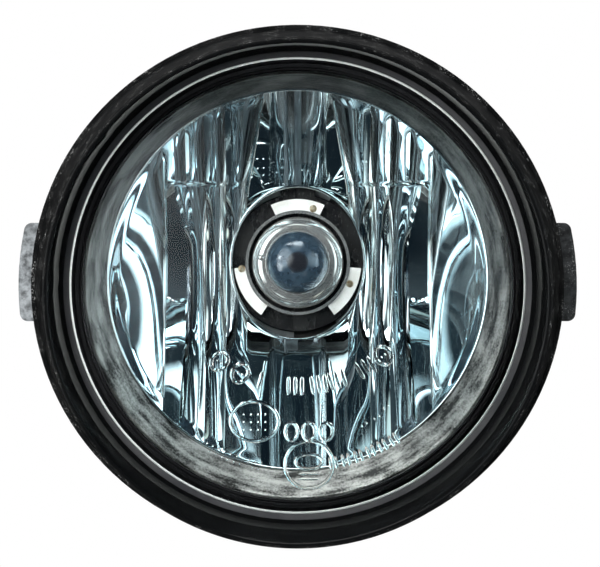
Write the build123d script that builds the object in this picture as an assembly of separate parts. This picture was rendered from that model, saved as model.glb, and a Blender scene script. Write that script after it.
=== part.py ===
from build123d import *
from math import cos, radians, sin, sqrt
import os

# Round automotive fog lamp, in millimetres.
#
# The lamp faces -Y, +Z is up. The origin is the centre of the mounting flange's rear face, the plane
# that seats on the vehicle's bracket, and lies on the lens axis.
#
# A fixed mounting frame carries the lamp unit on two side pivots. The lamp unit is the lens, reflector
# and rear housing. A captive screw at the bottom drives a nut that tilts the lamp unit, and the bulb
# turns out of the holder at the back with a twist-lock.

# Lens
LENS_RADIUS = 44.8
LENS_APEX_Y = -12.0
LENS_DOME_RADIUS = 130.0
LENS_THICKNESS = 2.8
LENS_SHOULDER_RADIUS = 3.0
LENS_SKIRT_END_Y = 4.0
LENS_SKIRT_INNER_RADIUS = LENS_RADIUS - LENS_THICKNESS
SEAL_THICKNESS = 1.6

# Mounting frame: front rim, flange and sleeve
FLANGE_HALF_WIDTH = 52.35
FLANGE_HALF_HEIGHT = 51.2
FLANGE_THICKNESS = 1.6
RIM_STEP = 0.8
RIM_FRONT_Y = -11.9
RIM_CREST_Z = -1.45
RIM_CREST_OUTER_RADIUS = 49.6
RIM_CREST_INNER_RADIUS = 48.5
RIM_CREST_FILLET = 0.45
RIM_THROAT_RADIUS = 46.0
RIM_THROAT_Y = -2.5
RIM_THROAT_THICKNESS = 1.4
SLEEVE_INNER_RADIUS = 48.0
SLEEVE_OUTER_RADIUS = 50.0
SLEEVE_END_Y = 9.0

# Mounting frame: side arms and ears
ARM_BOTTOM_Z = -8.4
ARM_TOP_Z = 13.6
ARM_END_Y = 26.5
EAR_OUTER_RADIUS = 56.2
EAR_BOTTOM_Z = -7.2
EAR_TOP_Z = 12.6
EAR_FRONT_Y = 18.5
EAR_CORNER_RADIUS = 1.6
POCKET_INNER_RADIUS = 51.2
POCKET_OUTER_RADIUS = 53.4
POCKET_BOTTOM_Z = -5.0
POCKET_TOP_Z = 5.8
POCKET_DEPTH = 5.0

# Tilt pivots
PIVOT_Y = 13.0
PIN_RADIUS = 2.5
PIN_HEAD_RADIUS = 4.0
PIN_HEAD_THICKNESS = 1.3
PIN_TIP_X = 41.0
PIVOT_PAD_X = 50.6
PIVOT_PAD_RADIUS = 6.0
BUSH_BORE_RADIUS = 2.55
BUSH_RADIUS = 4.0
BUSH_INNER_X = 40.5
BUSH_OUTER_X = 47.5
PIVOT_BOSS_RADIUS = 5.6
PIVOT_BOSS_END_X = 47.1

# Bulb axis and reflector bowl: a paraboloid whose circles shift down towards the aperture
BULB_Z = 4.6
APERTURE_RADIUS = 37.2
APERTURE_Z = 1.2
BOWL_VERTEX_Y = 34.1
BOWL_FOUR_F = 47.0
BOWL_END_RADIUS = 13.2
BOWL_STEPS = 4
REFLECTOR_WALL = 2.0
REFLECTOR_FRONT_Y = -1.7
REFLECTOR_FLANGE_RADIUS = 41.7
FUNNEL_FRONT_RADIUS = 41.2
BULB_HOLE_HALF_WIDTH = 13.6
BULB_HOLE_HALF_HEIGHT = 15.6

# Rear housing
HOUSING_RADIUS = 46.2
HOUSING_LIP_INNER_RADIUS = 45.0
HOUSING_LIP_FRONT_Y = 1.0
HOUSING_SHOULDER_Y = LENS_SKIRT_END_Y + SEAL_THICKNESS
HOUSING_SHOULDER_THICKNESS = 2.2
HOUSING_INNER_OFFSET = 3.2
HOUSING_OUTER_OFFSET = 5.4
RIB_OFFSET = 8.2
RIB_THICKNESS = 1.8
RIB_ANGLES = (60, 90, 120, 150, 210, 240, 300, 330)
NECK_INNER_RADIUS = 22.8
NECK_OUTER_RADIUS = 25.0
NECK_FRONT_Y = 24.0
NECK_END_Y = 35.2

# Bulb holder and its fixings
GASKET_THICKNESS = 0.8
HOLDER_THICKNESS = 2.5
HOLDER_BORE_RADIUS = 14.2
HOLDER_FRONT_Y = NECK_END_Y + GASKET_THICKNESS
HOLDER_REAR_Y = HOLDER_FRONT_Y + HOLDER_THICKNESS
NOTCH_RADIUS = 16.9
NOTCH_ANGLE = 36.0
SCREW_CIRCLE_RADIUS = 20.2
SCREW_ANGLES = (7.5, 127.5, 247.5)
SCREW_RADIUS = 1.25
SCREW_HOLE_RADIUS = 1.3
SCREW_HEAD_RADIUS = 2.4
SCREW_HEAD_HEIGHT = 1.8
SCREW_BOSS_RADIUS = 2.0
SCREW_LENGTH = 8.0

# Bulb
TWIST_ANGLE = 45.0
LUG_ANGLES = (90, 210, 330)
LUG_RADIUS = 16.5
LUG_WIDTH_ANGLE = 28.0
LUG_THICKNESS = 2.5
TWIST_GAP = 0.3
GLASS_RADIUS = 5.9
GLASS_WALL = 1.0
GLASS_TIP_Y = 6.5
GLASS_DOME_DEPTH = 4.0
GLASS_END_Y = 31.0
COATING_THICKNESS = 0.15
COATING_GAP = 0.03
COATING_END_Y = 12.5
FILAMENT_CENTRE_Y = BOWL_VERTEX_Y - BOWL_FOUR_F / 4
FILAMENT_LENGTH = 4.6
FILAMENT_RADIUS = 0.75
LEAD_RADIUS = 0.4
LEAD_SPACING = 2.4
COLLAR_RADIUS = 9.3
COLLAR_FRONT_Y = 26.5
COLLAR_HOLE_RADIUS = 6.15
COLLAR_FILLET = 0.9
STEEL_THICKNESS = 0.6
BASE_RING_RADIUS = 10.6
BASE_RING_FRONT_Y = 28.4
TAB_RADIUS = 12.9
TAB_FRONT_Y = 29.4
TAB_WIDTH_ANGLE = 50.0
BASE_FRONT_Y = 33.0
BASE_RADIUS = 13.9
O_RING_RADIUS = 14.7
O_RING_SECTION_RADIUS = 0.75
BASE_FLANGE_RADIUS = 17.4
BASE_FLANGE_THICKNESS = 2.5
BASE_FLANGE_Y = HOLDER_REAR_Y + TWIST_GAP + 2 * O_RING_SECTION_RADIUS

# Bulb connector, pointing down
CONNECTOR_HALF_WIDTH = 11.0
CONNECTOR_FRONT_Y = 43.5
CONNECTOR_REAR_Y = 56.5
CONNECTOR_BOTTOM_Z = -27.0
CONNECTOR_WALL = 1.8
CONNECTOR_FILLET = 2.0
LATCH_HALF_WIDTH = 2.5
LATCH_HEIGHT = 1.6
LATCH_LOW_Z = CONNECTOR_BOTTOM_Z + 4.0
LATCH_HIGH_Z = CONNECTOR_BOTTOM_Z + 7.0
BASE_REAR_RADIUS = BASE_RADIUS - 0.5
BASE_REAR_END_Y = CONNECTOR_REAR_Y - 3.0
CAVITY_TOP_Z = -13.0
BLADE_SPACING = 9.0
BLADE_WIDTH = 2.8
BLADE_THICKNESS = 0.8
BLADE_BOTTOM_Z = -24.0

# Aiming screw, nut and bracket, on one axis parallel to Y
AIM_Z = -43.0
AIM_NUT_Y = 22.0
AIM_SCREW_RADIUS = 2.5
AIM_NUT_BORE_RADIUS = 2.56
AIM_SCREW_TIP_Y = 13.0
AIM_BEARING_RADIUS = 3.0
AIM_BEARING_HOLE_RADIUS = 3.06
AIM_COLLAR_RADIUS = 4.6
AIM_COLLAR_THICKNESS = 1.3
AIM_END_GAP = 0.3
AIM_CLIP_RADIUS = 5.2
AIM_CLIP_THICKNESS = 0.8
AIM_KNOB_RADIUS = 7.5
AIM_KNOB_LENGTH = 6.5
AIM_KNOB_TEETH = 12
AIM_KNOB_FLANGE = 1.2
AIM_TOOTH_GAP_RADIUS = 0.9
KEY_SOCKET_RADIUS = 3.2
KEY_SOCKET_DEPTH = 4.0
AIM_NUT_HALF_WIDTH = 4.6
AIM_NUT_HALF_LENGTH = 3.5
AIM_NUT_FILLET = 0.8
TRUNNION_RADIUS = 2.0
TRUNNION_END_X = 7.9
FORK_SLOT_HALF_WIDTH = 2.3
FORK_CHEEK_INNER_X = 5.0
FORK_CHEEK_OUTER_X = 8.0
FORK_HALF_LENGTH = 4.3
FORK_BOTTOM_Z = -46.3
FORK_WEB_BOTTOM_Z = -37.2
FORK_ROOT_Z = -20.0
BRACKET_HALF_WIDTH = 13.0
BRACKET_BOTTOM_Z = -51.0
BRACKET_THICKNESS = 2.8
BRACKET_WALL_Y = 30.5
BRACKET_WALL_THICKNESS = 3.0
BRACKET_TOP_Z = -35.5
BRACKET_EDGE_INSET = 0.4
GUSSET_THICKNESS = 1.6

# Vent
VENT_X = 28.5
VENT_Z = 20.0
VENT_RADIUS = 3.2
VENT_BORE_RADIUS = 2.0
VENT_END_Y = 31.0
MEMBRANE_THICKNESS = 0.3
VENT_CAP_RADIUS = 5.0
VENT_CAP_INNER_RADIUS = 3.3
VENT_CAP_FRONT_Y = 27.0
VENT_CAP_END_Y = 34.0
VENT_CAP_ROOF = 1.4

FAR = 120.0


def rod(radius, start_y, end_y, x=0.0, z=0.0):
    """Solid cylinder parallel to Y."""
    turned = Rot(90, 0, 0) * Cylinder(radius, end_y - start_y)
    return Pos(x, (start_y + end_y) / 2, z) * turned


def tube(outer, inner, start_y, end_y, x=0.0, z=0.0):
    """Straight tube parallel to Y."""
    return rod(outer, start_y, end_y, x, z) - rod(inner, start_y - 1, end_y + 1, x, z)


def cross_rod(radius, start_x, end_x, y, z):
    """Solid cylinder parallel to X."""
    turned = Rot(0, 90, 0) * Cylinder(radius, end_x - start_x)
    return Pos((start_x + end_x) / 2, y, z) * turned


def block(low, high):
    """Box between two opposite corners."""
    size = [b - a for a, b in zip(low, high)]
    middle = [(a + b) / 2 for a, b in zip(low, high)]
    return Pos(*middle) * Box(*size)


def disc(radius, y, z=0.0):
    """Circle face across the lamp's axis."""
    return Plane.XZ.offset(-y) * Pos(0, z) * Circle(radius)


def oval(half_width, half_height, y, z=0.0):
    """Ellipse face across the lamp's axis."""
    return Plane.XZ.offset(-y) * Pos(0, z) * Ellipse(half_width, half_height)


def wedge(angle, width_angle, start_y, end_y):
    """Sector about the bulb axis, centred on an angle counted from +X towards +Z."""
    half = radians(width_angle / 2)
    corners = [(0, 0), (FAR * cos(half), -FAR * sin(half)), (FAR * cos(half), FAR * sin(half))]
    face = make_face(Polyline(*corners, close=True))
    solid = extrude(Plane.XZ.offset(-end_y) * Rot(0, 0, angle) * face, end_y - start_y)
    return Pos(0, 0, BULB_Z) * solid


def dome_y(radius, dome_radius):
    """Y of a dome that is concentric with the lens's outer dome."""
    return LENS_APEX_Y + LENS_DOME_RADIUS - sqrt(dome_radius**2 - radius**2)


def bowl_disc(bowl_radius, offset):
    """Circle of the bowl, moved outwards by the offset along the wall's normal."""
    slope = 2 * bowl_radius / BOWL_FOUR_F
    length = sqrt(1 + slope**2)
    y = BOWL_VERTEX_Y - bowl_radius**2 / BOWL_FOUR_F + offset / length
    share = (bowl_radius - BOWL_END_RADIUS) / (APERTURE_RADIUS - BOWL_END_RADIUS)
    z = BULB_Z + (APERTURE_Z - BULB_Z) * share
    return disc(bowl_radius + offset * slope / length, y, z)


def bowl(offset, extra_sections=0):
    """Solid that fills the bowl out to an offset; extra sections carry it past the aperture."""
    step = (APERTURE_RADIUS - BOWL_END_RADIUS) / BOWL_STEPS
    count = BOWL_STEPS + 1 + extra_sections
    return loft([bowl_disc(BOWL_END_RADIUS + step * k, offset) for k in range(count)])


def aperture_y():
    return BOWL_VERTEX_Y - APERTURE_RADIUS**2 / BOWL_FOUR_F


def lens():
    """Shallow glass dome with a rounded shoulder and a straight skirt."""
    outer = LENS_DOME_RADIUS
    inner = LENS_DOME_RADIUS - LENS_THICKNESS
    front = ThreePointArc(
        (0, LENS_APEX_Y),
        (LENS_RADIUS / 2, dome_y(LENS_RADIUS / 2, outer)),
        (LENS_RADIUS, dome_y(LENS_RADIUS, outer)),
    )
    skirt = Polyline(
        front @ 1,
        (LENS_RADIUS, LENS_SKIRT_END_Y),
        (LENS_SKIRT_INNER_RADIUS, LENS_SKIRT_END_Y),
        (LENS_SKIRT_INNER_RADIUS, dome_y(LENS_SKIRT_INNER_RADIUS, inner)),
    )
    back = ThreePointArc(
        skirt @ 1,
        (LENS_RADIUS / 2, dome_y(LENS_RADIUS / 2, inner)),
        (0, LENS_APEX_Y + LENS_THICKNESS),
    )
    section = make_face([front, skirt, back, Line(back @ 1, front @ 0)])
    solid = revolve(section, Axis.Y)
    shoulder = solid.edges().filter_by(GeomType.CIRCLE).sort_by(Axis.Y)
    rim = [edge for edge in shoulder if abs(edge.radius - LENS_RADIUS) < 0.01][0]
    return fillet(rim, LENS_SHOULDER_RADIUS)


def lens_seal():
    """Adhesive bead between the glass skirt and the housing's channel."""
    return tube(
        HOUSING_LIP_INNER_RADIUS - 0.05, LENS_SKIRT_INNER_RADIUS, LENS_SKIRT_END_Y, HOUSING_SHOULDER_Y
    )


def screw_places(y):
    """Locations of the holder's three screws, about the bulb axis."""
    radius = SCREW_CIRCLE_RADIUS
    points = [(radius * cos(radians(a)), radius * sin(radians(a))) for a in SCREW_ANGLES]
    return [Pos(x, y, BULB_Z + z) for x, z in points]


def reflector():
    """Bowl with a conical front ring, a flange and three screw bosses behind."""
    body = rod(REFLECTOR_FLANGE_RADIUS, REFLECTOR_FRONT_Y, HOUSING_SHOULDER_Y)
    wall_limit = rod(REFLECTOR_FLANGE_RADIUS, REFLECTOR_FRONT_Y, HOLDER_FRONT_Y)
    body += bowl(REFLECTOR_WALL, extra_sections=1) & wall_limit
    boss_start = BOWL_VERTEX_Y - SCREW_CIRCLE_RADIUS**2 / BOWL_FOUR_F - 1
    for place in screw_places(0):
        body += place * rod(SCREW_BOSS_RADIUS, boss_start, HOLDER_FRONT_Y)
    funnel = [
        disc(FUNNEL_FRONT_RADIUS, REFLECTOR_FRONT_Y),
        disc(APERTURE_RADIUS, aperture_y(), APERTURE_Z),
    ]
    body -= loft(funnel)
    body -= bowl(0)
    hole = oval(BULB_HOLE_HALF_WIDTH, BULB_HOLE_HALF_HEIGHT, HOLDER_FRONT_Y, BULB_Z)
    body -= extrude(hole, HOLDER_FRONT_Y - BOWL_VERTEX_Y + 8)
    for place in screw_places(0):
        body -= place * rod(SCREW_HOLE_RADIUS, HOLDER_REAR_Y - SCREW_LENGTH, HOLDER_REAR_Y)
    return body


def housing_fork():
    """Two slotted cheeks that carry the nut's trunnions, joined by a web above the nut."""
    low_y = AIM_NUT_Y - FORK_HALF_LENGTH
    high_y = AIM_NUT_Y + FORK_HALF_LENGTH
    outer_x = FORK_CHEEK_OUTER_X
    fork = block((-outer_x, low_y, FORK_BOTTOM_Z), (outer_x, high_y, FORK_ROOT_Z))
    inner_x = FORK_CHEEK_INNER_X
    fork -= block((-inner_x, low_y - 1, FORK_BOTTOM_Z - 1), (inner_x, high_y + 1, FORK_WEB_BOTTOM_Z))
    slot_top = AIM_Z + FORK_SLOT_HALF_WIDTH
    slot = block(
        (-outer_x - 1, AIM_NUT_Y - FORK_SLOT_HALF_WIDTH, FORK_BOTTOM_Z - 1),
        (outer_x + 1, AIM_NUT_Y + FORK_SLOT_HALF_WIDTH, slot_top),
    )
    slot += cross_rod(FORK_SLOT_HALF_WIDTH, -outer_x - 1, outer_x + 1, AIM_NUT_Y, slot_top)
    return fork - slot


def housing_ribs():
    """Radial stiffening ribs between the shoulder and the neck."""
    ribs = []
    for angle in RIB_ANGLES:
        plate = block((10, 0, -RIB_THICKNESS / 2), (FAR, NECK_END_Y - 4, RIB_THICKNESS / 2))
        ribs.append(Pos(0, 0, APERTURE_Z) * Rot(0, -angle, 0) * plate)
    envelope = bowl(RIB_OFFSET) & rod(HOUSING_RADIUS - 0.4, 0, NECK_END_Y)
    return Part() + [rib & envelope for rib in ribs]


def rear_housing():
    """Bucket behind the reflector: lens channel, bowl, neck, pivot bosses, fork, ribs and vent."""
    shoulder_end = HOUSING_SHOULDER_Y + HOUSING_SHOULDER_THICKNESS
    body = rod(HOUSING_RADIUS, HOUSING_SHOULDER_Y, shoulder_end)
    body += tube(HOUSING_RADIUS, HOUSING_LIP_INNER_RADIUS, HOUSING_LIP_FRONT_Y, shoulder_end)
    body += bowl(HOUSING_OUTER_OFFSET)
    body += rod(NECK_OUTER_RADIUS, NECK_FRONT_Y, NECK_END_Y, z=BULB_Z)
    body += housing_fork()
    body += housing_ribs()
    body += rod(VENT_RADIUS, HOUSING_SHOULDER_Y, VENT_END_Y, VENT_X, VENT_Z)
    for side in (-1, 1):
        ends = sorted((side * 30, side * PIVOT_BOSS_END_X))
        body += cross_rod(PIVOT_BOSS_RADIUS, *ends, PIVOT_Y, 0)
    body -= bowl(HOUSING_INNER_OFFSET)
    opening = bowl_disc(APERTURE_RADIUS, HOUSING_INNER_OFFSET)
    opening_y = opening.center().Y
    body -= extrude(opening, opening_y - HOUSING_SHOULDER_Y + 1)
    body -= rod(NECK_INNER_RADIUS, NECK_FRONT_Y + 2.5, NECK_END_Y + 1, z=BULB_Z)
    body -= rod(VENT_BORE_RADIUS, HOUSING_SHOULDER_Y, VENT_END_Y + 1, VENT_X, VENT_Z)
    for side in (-1, 1):
        ends = sorted((side * BUSH_INNER_X, side * (PIVOT_BOSS_END_X + 1)))
        body -= cross_rod(BUSH_RADIUS, *ends, PIVOT_Y, 0)
    return body


def holder_gasket():
    return tube(NECK_OUTER_RADIUS, NECK_INNER_RADIUS + 0.1, NECK_END_Y, HOLDER_FRONT_Y, z=BULB_Z)


def bulb_holder():
    """Ring with three notches that let the bulb's lugs in."""
    ring = tube(NECK_OUTER_RADIUS, HOLDER_BORE_RADIUS, HOLDER_FRONT_Y, HOLDER_REAR_Y, z=BULB_Z)
    notch_limit = rod(NOTCH_RADIUS, HOLDER_FRONT_Y - 1, HOLDER_REAR_Y + 1, z=BULB_Z)
    for angle in LUG_ANGLES:
        sector = wedge(angle - TWIST_ANGLE, NOTCH_ANGLE, HOLDER_FRONT_Y - 1, HOLDER_REAR_Y + 1)
        ring -= sector & notch_limit
    for place in screw_places(0):
        ring -= place * rod(SCREW_HOLE_RADIUS, HOLDER_FRONT_Y - 1, HOLDER_REAR_Y + 1)
    return ring


def holder_screws():
    """Three pan-head screws with a cross recess."""
    shank = rod(SCREW_RADIUS, HOLDER_REAR_Y - SCREW_LENGTH + 0.5, HOLDER_REAR_Y)
    head_end = HOLDER_REAR_Y + SCREW_HEAD_HEIGHT
    screw = shank + rod(SCREW_HEAD_RADIUS, HOLDER_REAR_Y, head_end)
    slot = block((-1.5, head_end - 1, -0.3), (1.5, head_end + 1, 0.3))
    screw -= slot
    screw -= Rot(0, 90, 0) * slot
    return Compound(children=[place * screw for place in screw_places(0)])


def side_arm(side):
    """Arm behind the flange with the pivot pad and the ear with its snap pocket."""
    low_x, high_x = sorted((side * 30, side * FAR))
    band = block((low_x, -1, ARM_BOTTOM_Z), (high_x, ARM_END_Y, ARM_TOP_Z))
    arm = tube(SLEEVE_OUTER_RADIUS, SLEEVE_INNER_RADIUS, -1, ARM_END_Y) & band
    pad_ends = sorted((side * (SLEEVE_INNER_RADIUS + 0.6), side * PIVOT_PAD_X))
    arm += cross_rod(PIVOT_PAD_RADIUS, *pad_ends, PIVOT_Y, 0)
    ear_band = block((low_x, EAR_FRONT_Y, EAR_BOTTOM_Z), (high_x, ARM_END_Y, EAR_TOP_Z))
    ear = tube(EAR_OUTER_RADIUS, SLEEVE_OUTER_RADIUS - 0.5, EAR_FRONT_Y, ARM_END_Y) & ear_band
    corners = ear.edges().filter_by(Axis.Y).sort_by(lambda e: -abs(e.center().X))[0:2]
    ear = fillet(corners, EAR_CORNER_RADIUS)
    pocket_end = EAR_FRONT_Y + POCKET_DEPTH
    pocket_band = block((low_x, EAR_FRONT_Y - 1, POCKET_BOTTOM_Z), (high_x, pocket_end, POCKET_TOP_Z))
    pocket = tube(POCKET_OUTER_RADIUS, POCKET_INNER_RADIUS, EAR_FRONT_Y - 1, pocket_end)
    ear -= pocket & pocket_band
    hole_ends = sorted((side * 40, side * FAR))
    return arm + ear - cross_rod(PIN_RADIUS + 0.02, *hole_ends, PIVOT_Y, 0)


def adjuster_bracket():
    """Floor, upright wall and two gussets that hold the aiming screw, kept behind the flange's outline."""
    wall_end = BRACKET_WALL_Y + BRACKET_WALL_THICKNESS
    half = BRACKET_HALF_WIDTH
    floor_top = BRACKET_BOTTOM_Z + BRACKET_THICKNESS
    bracket = block((-half, 2.5, BRACKET_BOTTOM_Z), (half, wall_end, floor_top))
    bracket += block((-half, BRACKET_WALL_Y, BRACKET_BOTTOM_Z), (half, wall_end, BRACKET_TOP_Z))
    side = [
        (SLEEVE_END_Y, floor_top - 1),
        (wall_end - 1, floor_top - 1),
        (wall_end - 1, BRACKET_TOP_Z),
        (BRACKET_WALL_Y - 2, BRACKET_TOP_Z),
        (SLEEVE_END_Y + 6, floor_top + 1),
    ]
    profile = make_face(Plane.YZ * Polyline(*side, close=True))
    gusset = extrude(profile, GUSSET_THICKNESS)
    bracket += Pos(half - GUSSET_THICKNESS, 0, 0) * gusset
    bracket += Pos(-half, 0, 0) * gusset
    inside = rod(SLEEVE_INNER_RADIUS, -1, SLEEVE_END_Y)
    hole = rod(AIM_BEARING_HOLE_RADIUS, BRACKET_WALL_Y - 1, wall_end + 1, z=AIM_Z)
    outline_width = FLANGE_HALF_WIDTH - BRACKET_EDGE_INSET
    outline_height = FLANGE_HALF_HEIGHT - BRACKET_EDGE_INSET
    outline = extrude(oval(outline_width, outline_height, wall_end + 1), wall_end + 1)
    return (bracket & outline) - inside - hole


def mounting_frame():
    """Front ring, flange and sleeve, with the side arms and the adjuster bracket."""
    flange = extrude(oval(FLANGE_HALF_WIDTH, FLANGE_HALF_HEIGHT, 0), FLANGE_THICKNESS)
    wall_base = oval(FLANGE_HALF_WIDTH - RIM_STEP, FLANGE_HALF_HEIGHT - RIM_STEP, -FLANGE_THICKNESS)
    wall = loft([wall_base, disc(RIM_CREST_OUTER_RADIUS, RIM_FRONT_Y, RIM_CREST_Z)])
    funnel = loft(
        [
            disc(RIM_THROAT_RADIUS, RIM_THROAT_Y),
            disc(RIM_CREST_INNER_RADIUS, RIM_FRONT_Y, RIM_CREST_Z),
        ]
    )
    rim = wall - funnel
    crest = rim.edges().group_by(Axis.Y)[0]
    rim = fillet(crest, RIM_CREST_FILLET)
    throat_end = RIM_THROAT_Y + RIM_THROAT_THICKNESS
    body = rim + flange - rod(RIM_THROAT_RADIUS, RIM_THROAT_Y - 0.01, 1)
    body -= rod(SLEEVE_INNER_RADIUS, throat_end, 1)
    body += tube(SLEEVE_OUTER_RADIUS, SLEEVE_INNER_RADIUS, throat_end, SLEEVE_END_Y)
    body += adjuster_bracket()
    for side in (-1, 1):
        body += side_arm(side)
    return body


def pivot_pin(side):
    """Headed pin, pressed into the frame's arm."""
    shank = cross_rod(PIN_RADIUS, *sorted((side * PIN_TIP_X, side * PIVOT_PAD_X)), PIVOT_Y, 0)
    head_end = PIVOT_PAD_X + PIN_HEAD_THICKNESS
    head = cross_rod(PIN_HEAD_RADIUS, *sorted((side * PIVOT_PAD_X, side * head_end)), PIVOT_Y, 0)
    return shank + head


def pivot_bush(side):
    """Plain plastic bush in the housing's boss."""
    ends = sorted((side * BUSH_INNER_X, side * BUSH_OUTER_X))
    bore_ends = sorted((side * (BUSH_INNER_X - 1), side * (BUSH_OUTER_X + 1)))
    return cross_rod(BUSH_RADIUS, *ends, PIVOT_Y, 0) - cross_rod(BUSH_BORE_RADIUS, *bore_ends, PIVOT_Y, 0)


def vent_membrane():
    return rod(VENT_RADIUS, VENT_END_Y, VENT_END_Y + MEMBRANE_THICKNESS, VENT_X, VENT_Z)


def vent_cap():
    """Cup that shades the vent's mouth."""
    cap = rod(VENT_CAP_RADIUS, VENT_CAP_FRONT_Y, VENT_CAP_END_Y, VENT_X, VENT_Z)
    roof_y = VENT_CAP_END_Y - VENT_CAP_ROOF
    return cap - rod(VENT_CAP_INNER_RADIUS, VENT_CAP_FRONT_Y - 1, roof_y, VENT_X, VENT_Z)


def adjuster_screw():
    """Captive screw: plain shank on the thread's outside diameter, collar and bearing length."""
    collar_end = BRACKET_WALL_Y - AIM_END_GAP
    bearing_end = BRACKET_WALL_Y + BRACKET_WALL_THICKNESS + AIM_END_GAP + AIM_CLIP_THICKNESS
    screw = rod(AIM_SCREW_RADIUS, AIM_SCREW_TIP_Y, collar_end, z=AIM_Z)
    screw += rod(AIM_COLLAR_RADIUS, collar_end - AIM_COLLAR_THICKNESS, collar_end, z=AIM_Z)
    screw += rod(AIM_BEARING_RADIUS, collar_end, bearing_end, z=AIM_Z)
    return screw


def clip_front_y():
    return BRACKET_WALL_Y + BRACKET_WALL_THICKNESS + AIM_END_GAP


def adjuster_clip():
    """Open retaining washer behind the bracket's wall."""
    end_y = clip_front_y() + AIM_CLIP_THICKNESS
    clip = tube(AIM_CLIP_RADIUS, AIM_BEARING_RADIUS + 0.02, clip_front_y(), end_y, z=AIM_Z)
    mouth = block((-1.6, clip_front_y() - 1, AIM_Z), (1.6, end_y + 1, AIM_Z + AIM_CLIP_RADIUS + 1))
    return clip - mouth


def adjuster_knob():
    """Toothed knob with a hexagonal key socket."""
    start_y = clip_front_y() + AIM_CLIP_THICKNESS
    end_y = start_y + AIM_KNOB_LENGTH
    knob = rod(AIM_KNOB_RADIUS, start_y, end_y, z=AIM_Z)
    for k in range(AIM_KNOB_TEETH):
        angle = radians(360 * k / AIM_KNOB_TEETH)
        x = AIM_KNOB_RADIUS * cos(angle)
        z = AIM_KNOB_RADIUS * sin(angle)
        knob -= rod(AIM_TOOTH_GAP_RADIUS, start_y + AIM_KNOB_FLANGE, end_y + 1, x, AIM_Z + z)
    key = Plane.XZ.offset(-end_y) * Pos(0, AIM_Z) * RegularPolygon(KEY_SOCKET_RADIUS, 6)
    socket = extrude(key, KEY_SOCKET_DEPTH)
    return knob - socket


def adjuster_nut():
    """Square nut on the screw, with a trunnion on each side."""
    low_y = AIM_NUT_Y - AIM_NUT_HALF_LENGTH
    high_y = AIM_NUT_Y + AIM_NUT_HALF_LENGTH
    half = AIM_NUT_HALF_WIDTH
    nut = block((-half, low_y, AIM_Z - half), (half, high_y, AIM_Z + half))
    nut = fillet(nut.edges().filter_by(Axis.Y), AIM_NUT_FILLET)
    nut += cross_rod(TRUNNION_RADIUS, -TRUNNION_END_X, TRUNNION_END_X, AIM_NUT_Y, AIM_Z)
    return nut - rod(AIM_NUT_BORE_RADIUS, low_y - 1, high_y + 1, z=AIM_Z)


def capsule(radius, tip_y, dome_depth, end_y):
    """Round bar with an elliptical nose, about the bulb axis."""
    nose = EllipticalCenterArc((0, tip_y + dome_depth), radius, dome_depth, 270, arc_size=90)
    rest = Polyline(nose @ 1, (radius, end_y), (0, end_y), nose @ 0)
    return Pos(0, 0, BULB_Z) * revolve(make_face([nose, rest]), Axis.Y)


def bulb_glass():
    """Closed glass capsule around the filament's space."""
    outside = capsule(GLASS_RADIUS, GLASS_TIP_Y, GLASS_DOME_DEPTH, GLASS_END_Y)
    inner_radius = GLASS_RADIUS - GLASS_WALL
    inner_depth = GLASS_DOME_DEPTH - GLASS_WALL / 2
    inside = capsule(inner_radius, GLASS_TIP_Y + GLASS_WALL, inner_depth, GLASS_END_Y - 2)
    return outside - inside


def bulb_tip_coating():
    """Opaque cap over the glass's tip."""
    gap = COATING_GAP
    outer = gap + COATING_THICKNESS
    shell = capsule(GLASS_RADIUS + outer, GLASS_TIP_Y - outer, GLASS_DOME_DEPTH + outer, COATING_END_Y)
    hollow = capsule(GLASS_RADIUS + gap, GLASS_TIP_Y - gap, GLASS_DOME_DEPTH + gap, COATING_END_Y + 1)
    return shell - hollow


def bulb_filament():
    half = FILAMENT_LENGTH / 2
    return rod(FILAMENT_RADIUS, FILAMENT_CENTRE_Y - half, FILAMENT_CENTRE_Y + half, z=BULB_Z)


def bulb_lead_wires():
    """Two posts with a short arm to each end of the filament."""
    half = FILAMENT_LENGTH / 2 + LEAD_RADIUS
    bottom = GLASS_END_Y - 2
    wires = []
    for side, arm_y in ((-1, FILAMENT_CENTRE_Y - half), (1, FILAMENT_CENTRE_Y + half)):
        x = side * LEAD_SPACING
        post = rod(LEAD_RADIUS, arm_y - LEAD_RADIUS, bottom, x, BULB_Z)
        arm = cross_rod(LEAD_RADIUS, *sorted((0, x)), arm_y, BULB_Z)
        wires.append(post + arm)
    return Compound(children=wires)


def bulb_collar():
    """Steel cup that grips the glass."""
    cup = rod(COLLAR_RADIUS, COLLAR_FRONT_Y, BASE_FRONT_Y, z=BULB_Z)
    cup = fillet(cup.edges().group_by(Axis.Y)[0], COLLAR_FILLET)
    cup -= rod(COLLAR_HOLE_RADIUS, COLLAR_FRONT_Y - 1, BASE_FRONT_Y + 1, z=BULB_Z)
    inner = COLLAR_RADIUS - STEEL_THICKNESS
    return cup - rod(inner, COLLAR_FRONT_Y + STEEL_THICKNESS + 0.6, BASE_FRONT_Y + 1, z=BULB_Z)


def bulb_base_ring():
    inner = BASE_RING_RADIUS - STEEL_THICKNESS
    return tube(BASE_RING_RADIUS, inner, BASE_RING_FRONT_Y, BASE_FRONT_Y, z=BULB_Z)


def bulb_support_tabs():
    """Three bent steel tabs between the base ring and the base."""
    inner = BASE_RING_RADIUS + 0.05
    plate = tube(TAB_RADIUS, inner, TAB_FRONT_Y, TAB_FRONT_Y + STEEL_THICKNESS, z=BULB_Z)
    leg = tube(TAB_RADIUS, TAB_RADIUS - STEEL_THICKNESS, TAB_FRONT_Y, BASE_FRONT_Y, z=BULB_Z)
    bent = plate + leg
    sectors = [wedge(angle, TAB_WIDTH_ANGLE, TAB_FRONT_Y - 1, BASE_FRONT_Y + 1) for angle in LUG_ANGLES]
    return Compound(children=[bent & sector for sector in sectors])


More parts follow.
